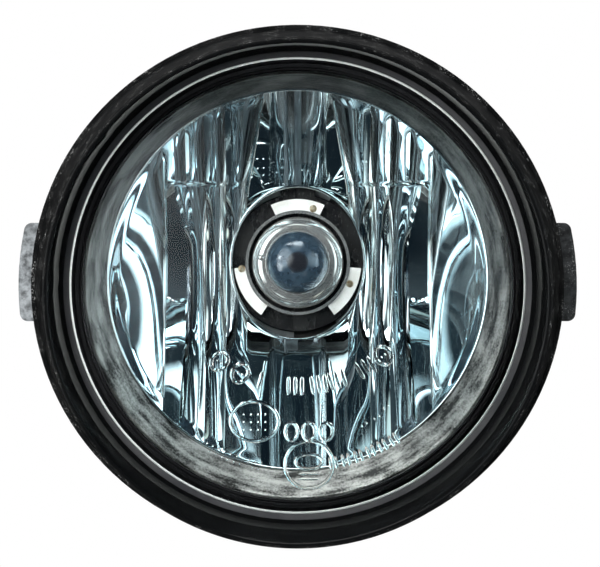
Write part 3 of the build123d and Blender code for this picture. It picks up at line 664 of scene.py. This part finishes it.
def lens_profile():
    """Half section from the outside tip, over the shoulder and skirt, to the inside tip."""
    inner_dome = LENS_DOME_RADIUS - LENS_THICKNESS
    centre = shoulder_centre()
    meet = asin(centre[0] / (LENS_DOME_RADIUS - LENS_SHOULDER))
    outer = [LENS_DOME_RADIUS * sin(meet * share) for share in shares(28)[1:-1]]
    profile = [(r, dome_y(r)) for r in outer]
    profile += arc_points(centre, LENS_SHOULDER, -90 + degrees(meet), 0, 14)
    inner_r = LENS_RADIUS - LENS_THICKNESS
    profile += [
        (LENS_RADIUS, LENS_END_Y - LENS_CHAMFER),
        (LENS_RADIUS - LENS_CHAMFER, LENS_END_Y),
        (inner_r + LENS_CHAMFER, LENS_END_Y),
        (inner_r, LENS_END_Y - LENS_CHAMFER),
    ]
    corner_r = inner_r - LENS_FILLET
    corner_y = dome_y(corner_r, inner_dome) + 1.02 * LENS_FILLET
    profile += arc_points((corner_r, corner_y), LENS_FILLET, 0, -90 + degrees(meet), 8)
    inner = [0.97 * corner_r * (1 - share) for share in shares(26)[:-1]]
    profile += [(r, dome_y(r, inner_dome)) for r in inner]
    return profile


def make_lens():
    rings = [level_ring(y, r, 0.0, 240) for r, y in lens_profile()]
    tips = ((0, LENS_APEX_Y, 0), (0, LENS_APEX_Y + LENS_THICKNESS, 0))
    points, faces = sweep_rings(rings, tips)
    shell = add_piece("lens_shell", points, faces, "lamp_unit", "lens_glass", 40)
    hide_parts("lens")


def make_lens_edge():
    """Pale frosted band on the lens's shoulder, a painted highlight: a thin shell from just over its arc
    to just under it.
    """
    centre = shoulder_centre()
    over = 0.05 * MM
    under = 0.10 * MM
    section = arc_points(centre, LENS_SHOULDER + over, -33, -10, 8)
    section += arc_points(centre, LENS_SHOULDER - under, -12, -31, 6)
    rings = [level_ring(y, r, 0.0, 240) for r, y in section]
    points, faces = sweep_rings(rings)
    add_piece("lens_shoulder_highlight", points, faces, "lamp_unit", "lens_glass", 60, shoulder_highlight_glass())


def raised_line(path, width, closed, points, faces):
    """Adds a half-round raised line along (x, z) points on the lens, smaller at open ends.

    It is sunk a little into the glass, and its underside a little more."""
    count = len(path)
    start = len(points)
    section = 8
    sunk = 0.02 * MM
    keel = 0.008 * MM
    for k, (x, z) in enumerate(path):
        before = path[(k - 1) % count] if closed or k > 0 else path[k]
        after = path[(k + 1) % count] if closed or k < count - 1 else path[k]
        along = Vector((after[0] - before[0], after[1] - before[1])).normalized()
        scale = 1.0 if closed or 0 < k < count - 1 else 0.45
        for turn in turns(section):
            side = width / 2 * cos(turn) * scale
            rise = MARK_RISE * max(sin(turn), 0.0) * scale
            px = x - along.y * side
            pz = z + along.x * side
            y = dome_y(hypot(px, pz)) - sunk - rise
            if sin(turn) < -0.01:
                y += keel
            points.append((px, y, pz))
    join_rings(faces, start, count, section, closed)
    if not closed:
        last = start + (count - 1) * section
        faces.append(tuple(start + s for s in range(section)))
        faces.append(tuple(last + s for s in reversed(range(section))))


def turned(local, place, angle):
    """Moves local (across, up) points to a place on the lens, turned by an angle."""
    moved = []
    for across, up in local:
        x = place[0] + across * cos(angle) - up * sin(angle)
        z = place[1] + across * sin(angle) + up * cos(angle)
        moved.append((x, z))
    return moved


def straight(start, end, steps=5):
    return [(between(start[0], end[0], k), between(start[1], end[1], k)) for k in shares(steps)]


def oval_path(half_width, half_height, steps=36):
    return [(half_width * cos(turn), half_height * sin(turn)) for turn in turns(steps)]


def make_lens_marks():
    """Plain raised bars, rings and dots in the lens's lower half."""
    points = []
    faces = []
    dot_width = 0.6 * MM
    dot_reach = 0.15 * MM

    def row(number, gap):
        return [(k - (number - 1) / 2) * gap for k in range(number)]

    def bars(place, angle, tall, gap, number):
        for across in row(number, gap):
            path = turned(straight((across, -tall / 2), (across, tall / 2)), place, angle)
            raised_line(path, MARK_WIDTH, False, points, faces)

    def ring(place, half_width, half_height, angle=0.0):
        path = turned(oval_path(half_width, half_height), place, angle)
        raised_line(path, MARK_WIDTH, True, points, faces)

    def dots(place, angle, gap, number):
        for across in row(number, gap):
            spot = turned([(across + reach, 0) for reach in (-dot_reach, 0, dot_reach)], place, angle)
            raised_line(spot, dot_width, False, points, faces)

    def on_arc(arc, turn):
        """A place on an arc given by its centre's height and its radius, turned from its lowest point."""
        centre_z, radius = arc
        return (radius * sin(turn), centre_z - radius * cos(turn))

    # Row across the middle of the lower half: groups of bars, and rings where there are no bars
    upper_arc = (6.9 * MM, 26.4 * MM)
    for angle, number in ((-35, 0), (-25, 0), (-16, 1), (-1, 3), (9, 3), (17, 3), (30, 3), (39, 0)):
        turn = radians(angle)
        place = on_arc(upper_arc, turn)
        if number:
            bars(place, turn, 3.6 * MM, 1.3 * MM, number)
        else:
            ring(place, 1.5 * MM, 1.9 * MM, turn)
            dots(place, turn, 0.9 * MM, 2)

    # Large ring filled with dots, three small rings and some dots beside it
    badge_x = -8.4 * MM
    ring((badge_x, -26.4 * MM), 4.65 * MM, 3.9 * MM)
    for k in range(3):
        dots((badge_x, (-25.0 - 1.5 * k) * MM), 0.0, 1.4 * MM, 4)
    for x in (-1.2, 2.2, 5.6):
        ring((x * MM, -28.4 * MM), 1.2 * MM, 1.7 * MM)
    for x, z in ((13.0, -27.0), (15.4, -25.6), (17.2, -23.6)):
        dots((x * MM, z * MM), radians(30), 1.1 * MM, 2)

    # Row along the lower edge
    lower_arc = (1.2 * MM, 36.4 * MM)
    for angle in (-27, -23, -19, -13):
        turn = radians(angle)
        place = on_arc(lower_arc, turn)
        dots(place, turn, 1.2 * MM, 3)
        dots((place[0], place[1] - 1.3 * MM), turn, 1.2 * MM, 2)
    for angle in (11, 15, 19, 23, 27, 31):
        turn = radians(angle)
        bars(on_arc(lower_arc, turn), turn, 2.4 * MM, 1.1 * MM, 2)

    # Round mark in the lower row's gap
    x, z = 2.2 * MM, -34.9 * MM
    ring((x, z), 4.7 * MM, 4.7 * MM)
    ring((x, z + 0.6 * MM), 2.6 * MM, 1.5 * MM)
    bars((x, z - 2.3 * MM), pi / 2, 4.0 * MM, 1.0 * MM, 2)
    add_piece("lens_moulding_marks", points, faces, "lamp_unit", "lens_glass", 50)


# ---- reflector


def circle_z(radius):
    """Height of the centre of the bowl's circle of this radius."""
    share = (APERTURE_RADIUS - radius) / (APERTURE_RADIUS - BOWL_END_RADIUS)
    return between(APERTURE_Z, BULB_Z, share)


def bowl_y(x, z):
    """Depth of the smooth bowl under a point."""
    radius = hypot(x, z - BULB_Z)
    for _ in range(8):
        radius = hypot(x, z - circle_z(radius))
    return BOWL_VERTEX_Y - radius * radius / BOWL_FOUR_F


def above_ledge(z):
    return ease_over((LEDGE_Z - LEDGE_WIDTH / 2, LEDGE_Z + LEDGE_WIDTH / 2), z)


def channel_half_width(z):
    """The middle channel narrows above the bulb and again below it."""
    start, end = CHANNEL_TOP_ZONE
    if z > start:
        share = min((z - start) / (end - start), 1)
        return between(CHANNEL_HALF_WIDTH, CHANNEL_TOP_HALF_WIDTH, share)
    return between(CHANNEL_HALF_WIDTH, CHANNEL_FOOT_HALF_WIDTH, ease_over(CHANNEL_FOOT_ZONE, z))


def blade_inner_x(z):
    """Half-width of the inner edge of the blade."""
    top_cut = BLADE_TOP_CUT * ease_over(BLADE_TOP_ZONE, z) * (1 - above_ledge(z))
    foot_cut = BLADE_FOOT_CUT * ease_over(BLADE_FOOT_ZONE, z)
    return STRIP_EDGES[BLADE - 1] + top_cut + foot_cut


def strip_shape(strip, z):
    """Crown and set-back of a strip at a height, with eased changes between its zones."""
    shape = STRIP_SHAPES[strip]
    above = above_ledge(z)
    below = ease_over(FOOT_ZONE, z)
    values = []
    for top, middle, foot in zip(shape["top"], shape["middle"], shape["foot"]):
        value = middle + (top - middle) * above + (foot - middle) * below
        values.append(value * MM)
    return values


def reflector_columns():
    """Columns of the mesh from left to right, as (side, strip, place in the strip from 0 to 1).

    Strip -1 is the channel, and 0 to 4 are the strips outwards from it."""
    half = [(-1, share) for share in shares(12)]
    hole_share = (HOLE_HALF_WIDTH - CHANNEL_HALF_WIDTH) / (STRIP_EDGES[0] - CHANNEL_HALF_WIDTH)
    half += [(0, hole_share * (1 - (1 - share) ** 2)) for share in shares(14)]
    half += [(0, between(hole_share, 1, share)) for share in shares(5)[1:]]
    for strip in (1, 2, BLADE):
        half += [(strip, share) for share in shares(14)]
    first = asin(STRIP_EDGES[BLADE] / OUTLINE_RADIUS)
    last = radians(88.6)
    for share in shares(32):
        x = OUTLINE_RADIUS * sin(between(first, last, share))
        half.append((LOBE, (x - STRIP_EDGES[BLADE]) / (OUTLINE_RADIUS - STRIP_EDGES[BLADE])))
    left = [(-1, strip, share) for strip, share in reversed(half)]
    right = [(1, strip, share) for strip, share in half[1:]]
    return left + right


def column_x(column, z):
    side, strip, share = column
    if strip < 0:
        return side * share * channel_half_width(z)
    edges = [channel_half_width(z), *STRIP_EDGES, OUTLINE_RADIUS]
    edges[BLADE] = blade_inner_x(z)
    low = edges[strip] + STRIP_GAP
    high = edges[strip + 1] - STRIP_GAP if strip < LOBE else OUTLINE_RADIUS
    return side * between(low, high, share)


def mirror_y(column, z):
    """Depth of the fluted mirror at a column and height. The crowns sink towards the outline."""
    side, strip, share = column
    x = column_x(column, z)
    if strip < 0:
        return bowl_y(0.0, z) - CHANNEL_RISE
    crown, set_back = strip_shape(strip, z)
    if strip == BLADE:
        level = (1 - above_ledge(z)) * ease_over(BLADE_STEP_ZONE, z)
        x = between(x, side * BLADE_LEVEL_X, level)
    across = 2 * share - 1
    inside = ease((OUTLINE_RADIUS - hypot(x, z - APERTURE_Z)) / RIM_ZONE)
    return bowl_y(x, z) + set_back - crown * (1 - across * across) * between(0.35, 1, inside)


def column_heights(column):
    """Heights of a column's foot, lower hole edge, upper hole edge and top."""
    ends = []
    for sign in (-1, 1):
        z = APERTURE_Z + sign * 0.8 * OUTLINE_RADIUS
        for _ in range(12):
            z = APERTURE_Z + sign * sqrt(max(OUTLINE_RADIUS**2 - column_x(column, z) ** 2, 0.0))
        ends.append(z)
    across = min(abs(column_x(column, BULB_Z)) / HOLE_HALF_WIDTH, 1)
    hole = HOLE_HALF_HEIGHT * sqrt(1 - across**2)
    return ends[0], BULB_Z - hole, BULB_Z + hole, ends[1]


def make_mirror():
    """Fluted bowl: a front skin on a column grid, a back skin behind it, and the walls between.

    A column has a part below the bulb hole and one above it. Beside the hole they share a point."""
    rows = 104
    columns = reflector_columns()
    front = []
    index = {}
    for c, column in enumerate(columns):
        foot, hole_low, hole_high, top = column_heights(column)
        for part, (low, high) in enumerate(((foot, hole_low), (hole_high, top))):
            for row in range(rows + 1):
                if part == 1 and row == 0 and hole_high - hole_low < 0.001 * MM:
                    index[c, 1, 0] = index[c, 0, rows]
                    continue
                z = between(low, high, row / rows)
                index[c, part, row] = len(front)
                front.append((column_x(column, z), mirror_y(column, z), z))
    faces = []
    for c in range(len(columns) - 1):
        for part in (0, 1):
            for row in range(rows):
                corners = ((c, row), (c + 1, row), (c + 1, row + 1), (c, row + 1))
                face = tuple(dict.fromkeys(index[i, part, j] for i, j in corners))
                if len(face) > 2:
                    faces.append(face)
    edges = dict.fromkeys(edge for face in faces for edge in zip(face, face[1:] + face[:1]))
    rim = [(a, b) for a, b in edges if (b, a) not in edges]
    count = len(front)
    back = [(x, y + SHELL_DEPTH, z) for x, y, z in front]
    faces += [tuple(count + v for v in reversed(face)) for face in faces]
    faces += [(b, a, count + a, count + b) for a, b in rim]
    bowl = add_piece("reflector_flutes", front + back, faces, "lamp_unit", "reflector_coat", 22)
    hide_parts("reflector")


def add_ridge(points, faces, side, edge_x, low_z, high_z):
    """A rounded ridge standing on the mirror along the line x = edge_x(z)."""
    steps = 48
    corners = 10
    start = len(points)
    for share in shares(steps):
        z = between(low_z, high_z, share)
        x = edge_x(z)
        y = bowl_y(x, z) + 0.05 * MM
        for turn in turns(corners):
            points.append((side * x + RIDGE_RADIUS * cos(turn), y + RIDGE_RADIUS * sin(turn), z))
    join_rings(faces, start, steps + 1, corners)
    faces.append(tuple(start + c for c in reversed(range(corners))))
    faces.append(tuple(start + steps * corners + c for c in range(corners)))


def make_ridges():
    """Bright ridges beside the channel above the bulb, and along the inner edges of the side lobes."""
    points = []
    faces = []
    channel_ends = (18.4 * MM, 36.4 * MM)
    lobe_ends = (-22.0 * MM, 24.5 * MM)
    for side in (-1, 1):
        add_ridge(points, faces, side, channel_half_width, *channel_ends)
        add_ridge(points, faces, side, lambda z: STRIP_EDGES[BLADE], *lobe_ends)
    add_piece("reflector_ridges", points, faces, "lamp_unit", "reflector_coat", 60)


def make_funnel_ring():
    """Grained conical ring from the lens to the aperture, with a rolled inner lip and a rear skirt."""
    front_y = REFLECTOR_LOW.y
    flange = REFLECTOR_HIGH.x
    aperture_y = bowl_y(APERTURE_RADIUS, APERTURE_Z)
    back_y = aperture_y + 0.6 * MM
    bevel = 0.1 * MM
    # Stations: radius, height of the centre, depth
    stations = [
        (flange - 0.3 * MM, 0.0, front_y + bevel),
        (flange - 0.5 * MM, 0.0, front_y),
        (FUNNEL_FRONT_RADIUS, 0.0, front_y + bevel),
    ]
    for share in shares(12)[1:-1]:
        radius = between(FUNNEL_FRONT_RADIUS, APERTURE_RADIUS, share)
        stations.append((radius, APERTURE_Z * share, between(front_y, aperture_y - 2 * LIP_RADIUS, share)))
    for angle in (200, 240, 280, 320, 360):
        turn = radians(angle)
        radius = APERTURE_RADIUS + LIP_RADIUS * (1 - cos(turn))
        stations.append((radius, APERTURE_Z, aperture_y - LIP_RADIUS * (1 + cos(turn))))
    stations += [
        (APERTURE_RADIUS + 2 * LIP_RADIUS, APERTURE_Z, back_y),
        (39.8 * MM, 0.3 * MM, back_y),
        (flange, 0.0, aperture_y),
        (flange, 0.0, front_y + 0.4 * MM),
    ]
    rings = [level_ring(y, radius, z, 220) for radius, z, y in stations]
    points, faces = sweep_rings(rings)
    add_piece("reflector_front_ring", points, faces, "lamp_unit", "reflector_coat", 40, satin_metal())


def make_aperture_bead():
    """Bright rolled edge where the fluted bowl meets the grained ring."""
    centre = (APERTURE_RADIUS + 0.05 * MM, bowl_y(APERTURE_RADIUS, APERTURE_Z) - 0.95 * MM)
    section = arc_points(centre, 0.28 * MM, 0, 330, 11)
    rings = [level_ring(y, r, APERTURE_Z, 200) for r, y in section]
    points, faces = sweep_rings(rings)
    add_piece("reflector_aperture_bead", points, faces, "lamp_unit", "reflector_coat", 60)


def make_hole_lip():
    """Rolled mirror lip around the bulb hole."""
    half_thickness = 0.40 * MM
    half_depth = 0.45 * MM
    set_back = 0.1 * MM
    rings = []
    for step in range(12):
        turn = radians(30 * step)
        half_width = HOLE_HALF_WIDTH + half_thickness * cos(turn)
        half_height = HOLE_HALF_HEIGHT + half_thickness * cos(turn)
        ring = []
        for a in turns(160):
            edge_y = bowl_y(HOLE_HALF_WIDTH * cos(a), BULB_Z + HOLE_HALF_HEIGHT * sin(a))
            y = edge_y + set_back + half_depth * sin(turn)
            ring.append((half_width * cos(a), y, BULB_Z + half_height * sin(a)))
        rings.append(ring)
    points, faces = sweep_rings(rings)
    add_piece("reflector_hole_lip", points, faces, "lamp_unit", "reflector_coat", 60)


# ---- bulb details


def add_button(points, faces, place, radius, height):
    """Adds a low domed button standing forward of a flat face."""
    x, y, z = place
    start = len(points)
    count = 20
    # Rows of the dome: share of the radius, share of the height
    dome = ((1.0, 0.0), (0.93, 0.45), (0.70, 0.80), (0.38, 0.96))
    for share, rise in dome:
        ring = level_ring(y - height * rise, radius * share, z, count)
        points += [(x + across, depth, up) for across, depth, up in ring]
    join_rings(faces, start, len(dome), count)
    cap_end(points, faces, start + (len(dome) - 1) * count, count, (x, y - height, z))
    cap_end(points, faces, start, count, (x, y + 0.05 * MM, z))


def beside_bulb(reach, angle, y):
    """A place at an angle in degrees round the bulb's axis."""
    return (reach * cos(radians(angle)), y, BULB_Z + reach * sin(radians(angle)))


def make_collar():
    """Drawn steel collar round the bulb's glass: rolled inner edge, rounded face, straight skirt."""
    outer = COLLAR_HIGH.x
    front = COLLAR_LOW.y
    hole = 6.15 * MM
    roll = 0.5 * MM
    wall = 0.6 * MM
    rounding = 2.35 * MM
    bevel = 0.1 * MM
    centre = (outer - rounding, front + rounding)
    section = arc_points((hole + roll, front + roll), roll, -180, -90, 5)
    section += arc_points(centre, rounding, -90, 0, 16)
    section += [(outer, COLLAR_HIGH.y), (outer - wall, COLLAR_HIGH.y)]
    section += arc_points(centre, rounding - wall, 0, -90, 12)
    section.append((hole + bevel, front + wall + bevel))
    rings = [level_ring(y, r, BULB_Z, 120) for r, y in section]
    points, faces = sweep_rings(rings)
    collar = add_piece("bulb_collar_drawn", points, faces, "bulb", "bulb_steel", 50)
    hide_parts("bulb_collar")


def make_weld_spots():
    """A spot weld on each support tab."""
    points = []
    faces = []
    for angle in (74, 186, 338):
        add_button(points, faces, beside_bulb(11.4 * MM, angle, TABS_LOW.y), 0.75 * MM, 0.16 * MM)
    add_piece("bulb_weld_spots", points, faces, "bulb", "bulb_steel", 50, weld_steel())


def make_collar_rivet():
    points = []
    faces = []
    add_button(points, faces, beside_bulb(7.4 * MM, 172, COLLAR_LOW.y), 0.7 * MM, 0.5 * MM)
    add_piece("bulb_collar_rivet", points, faces, "bulb", "bulb_steel", 50)


# ---- aiming screw


def make_aiming_screw():
    """Screw with a real thread, its collar and its bearing length."""
    axis_z = (SCREW_LOW.z + SCREW_HIGH.z) / 2
    start_y = SCREW_LOW.y
    end_y = SCREW_HIGH.y
    crest = 2.5 * MM
    depth = 0.42 * MM
    pitch = 1.0 * MM
    lead_in = 0.45 * MM
    thread_end = start_y + 14.6 * MM
    thread_start = start_y + 0.3 * MM
    bearing = 3.0 * MM
    collar_low = 28.9 * MM
    collar_high = 30.2 * MM
    collar_radius = 4.6 * MM
    bevel = 0.25 * MM
    segments = 40
    rings = [level_ring(start_y, crest - 2 * lead_in, axis_z, segments)]
    for share in shares(176):
        y = between(thread_start, thread_end, share)
        lead = ease((y - start_y) / (1.2 * MM))
        runout = ease((thread_end - y) / (1.0 * MM))
        ring = []
        for k in range(segments):
            turn = k / segments
            phase = (y / pitch - turn) % 1.0
            # 0 along the thread's root, 1 along its crest, with flanks between
            tooth = min(max(abs(2 * phase - 1) * 1.35 - 0.12, 0.0), 1.0)
            radius = crest - depth * (1 - tooth) * runout - lead_in * (1 - lead)
            ring.append((radius * cos(2 * pi * turn), y, axis_z + radius * sin(2 * pi * turn)))
        rings.append(ring)
    stations = (
        (collar_low - 0.02 * MM, crest),
        (collar_low, collar_radius - bevel),
        (collar_low + bevel, collar_radius),
        (collar_high - bevel, collar_radius),
        (collar_high, collar_radius - bevel),
        (collar_high + 0.01 * MM, bearing),
        (end_y, bearing),
    )
    rings += [level_ring(y, radius, axis_z, segments) for y, radius in stations]
    points, faces = sweep_rings(rings, ((0, start_y, axis_z), (0, end_y, axis_z)))
    screw = add_piece("adjuster_screw_thread", points, faces, "aiming_screw", "aiming_plastic", 35)
    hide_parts("adjuster_screw")


# ---- stage, light and camera


def pale_floor():
    """A plain pale disc well below the lamp."""
    shader = Shader("floor", {"Specular IOR Level": 0.06})
    shader.colour(shader.noise(60 * MM), (0.80, 0.80, 0.79), (0.84, 0.84, 0.83), 0, 1)
    shader.roughness(shader.noise(20 * MM), 0.6, 0.75)
    drop = 80 * MM
    reach = 1.03
    edge = [(reach * cos(turn), reach * sin(turn), CAD_LOW.z - drop) for turn in turns(96)]
    mesh = bpy.data.meshes.new("floor")
    mesh.from_pydata(edge, [], [tuple(range(len(edge)))])
    mesh.materials.append(shader.material)
    floor = bpy.data.objects.new("floor", mesh)
    SCENE.collection.objects.link(floor)
    floor.visible_glossy = False
    floor.visible_transmission = False


def soft_box(name, place, width, height, power, colour=(1, 1, 1), glossy=True):
    """A soft rectangular light facing the lamp, hidden from the camera.

    glossy says whether reflections show it."""
    data = bpy.data.lights.new(name, "AREA")
    data.shape = "RECTANGLE"
    data.size = width
    data.size_y = height
    data.energy = power
    data.color = colour
    light = bpy.data.objects.new(name, data)
    target = Vector((0, 0.01, 0))
    light.location = place
    light.rotation_euler = (target - Vector(place)).to_track_quat("-Z", "Y").to_euler()
    light.visible_camera = False
    light.visible_glossy = glossy
    light.visible_transmission = glossy
    SCENE.collection.objects.link(light)


def studio_world():
    """White to the camera. To everything else, a dim cool room in front and a bright one behind."""
    world = bpy.data.worlds.new("studio")
    world.use_nodes = True
    SCENE.world = world
    studio = Nodes(world.node_tree)
    coords = studio.node("ShaderNodeTexCoord").outputs["Generated"]
    axes = studio.node("ShaderNodeSeparateXYZ")
    studio.join(coords, axes.inputs[0])

    def tone(axis, start, end, first, second):
        share = studio.spread(axes.outputs[axis], start, end, easing="SMOOTHSTEP")
        return studio.blend(share, first, second)

    front = tone("Z", -0.5, 0.9, (0.006, 0.011, 0.016), (0.07, 0.09, 0.105))
    back = tone("Z", 0.0, 0.9, (0.030, 0.031, 0.032), (0.32, 0.325, 0.33))
    light = tone("Y", -0.05, 0.75, front, back)
    for across, up, core, edge, colour in SOFT_DISCS:
        swing = radians(across)
        rise = radians(up)
        toward = studio.node("ShaderNodeVectorMath", operation="DOT_PRODUCT")
        toward.inputs[1].default_value = (sin(swing) * cos(rise), -cos(swing) * cos(rise), sin(rise))
        studio.join(coords, toward.inputs[0])
        nearness = toward.outputs["Value"]
        glow = studio.spread(nearness, cos(radians(edge)), cos(radians(core)), easing="SMOOTHSTEP")
        light = studio.blend(glow, light, colour, "ADD")
    room = studio.nodes["Background"]
    studio.join(light, room.inputs["Color"])
    white = studio.node("ShaderNodeBackground")
    white.inputs["Color"].default_value = (1, 1, 1, 1)
    studio.switch("Is Camera Ray", room, white, "World Output")


def studio_lights():
    cool = (0.82, 0.94, 1.0)
    soft_box("overhead", (-0.15, -0.42, 0.88), width=0.8, height=0.45, power=9)
    soft_box("front_left", (-0.80, -0.58, 0.22), width=0.16, height=0.16, power=0.9)
    soft_box("front_right", (0.80, -0.48, 0.10), width=0.14, height=0.6, power=1.0, colour=cool)
    soft_box("left_strip", (-0.98, -0.15, 0.05), width=0.10, height=0.9, power=2.5)
    soft_box("right_strip", (0.98, 0.10, 0.10), width=0.20, height=0.9, power=2.0)
    soft_box("rear_fill", (0.35, 0.70, 0.75), width=0.8, height=0.8, power=14, glossy=False)
    soft_box("rear_left", (-0.75, 0.65, 0.15), width=0.3, height=0.6, power=5, glossy=False)
    soft_box("front_fill", (-0.25, -0.95, 0.30), width=0.5, height=0.5, power=16, glossy=False)


def camera():
    """Long lens, far in front of the lamp and almost on its axis, looking straight back."""
    data = bpy.data.cameras.new("camera")
    data.lens = 244.0
    data.sensor_width = 36.0
    data.clip_start = 0.05
    view = bpy.data.objects.new("camera", data)
    view.location = (0.47 * MM, -0.8, 0.39 * MM)
    view.rotation_euler = (radians(90), 0, 0)
    SCENE.collection.objects.link(view)
    SCENE.camera = view


dress_cad_nodes()
make_lens()
make_lens_edge()
make_lens_marks()
make_mirror()
make_ridges()
make_funnel_ring()
make_aperture_bead()
make_hole_lip()
make_collar()
make_weld_spots()
make_collar_rivet()
make_aiming_screw()
pale_floor()
studio_world()
studio_lights()
camera()
SCENE.view_settings.view_transform = "Standard"

bpy.context.view_layer.update()
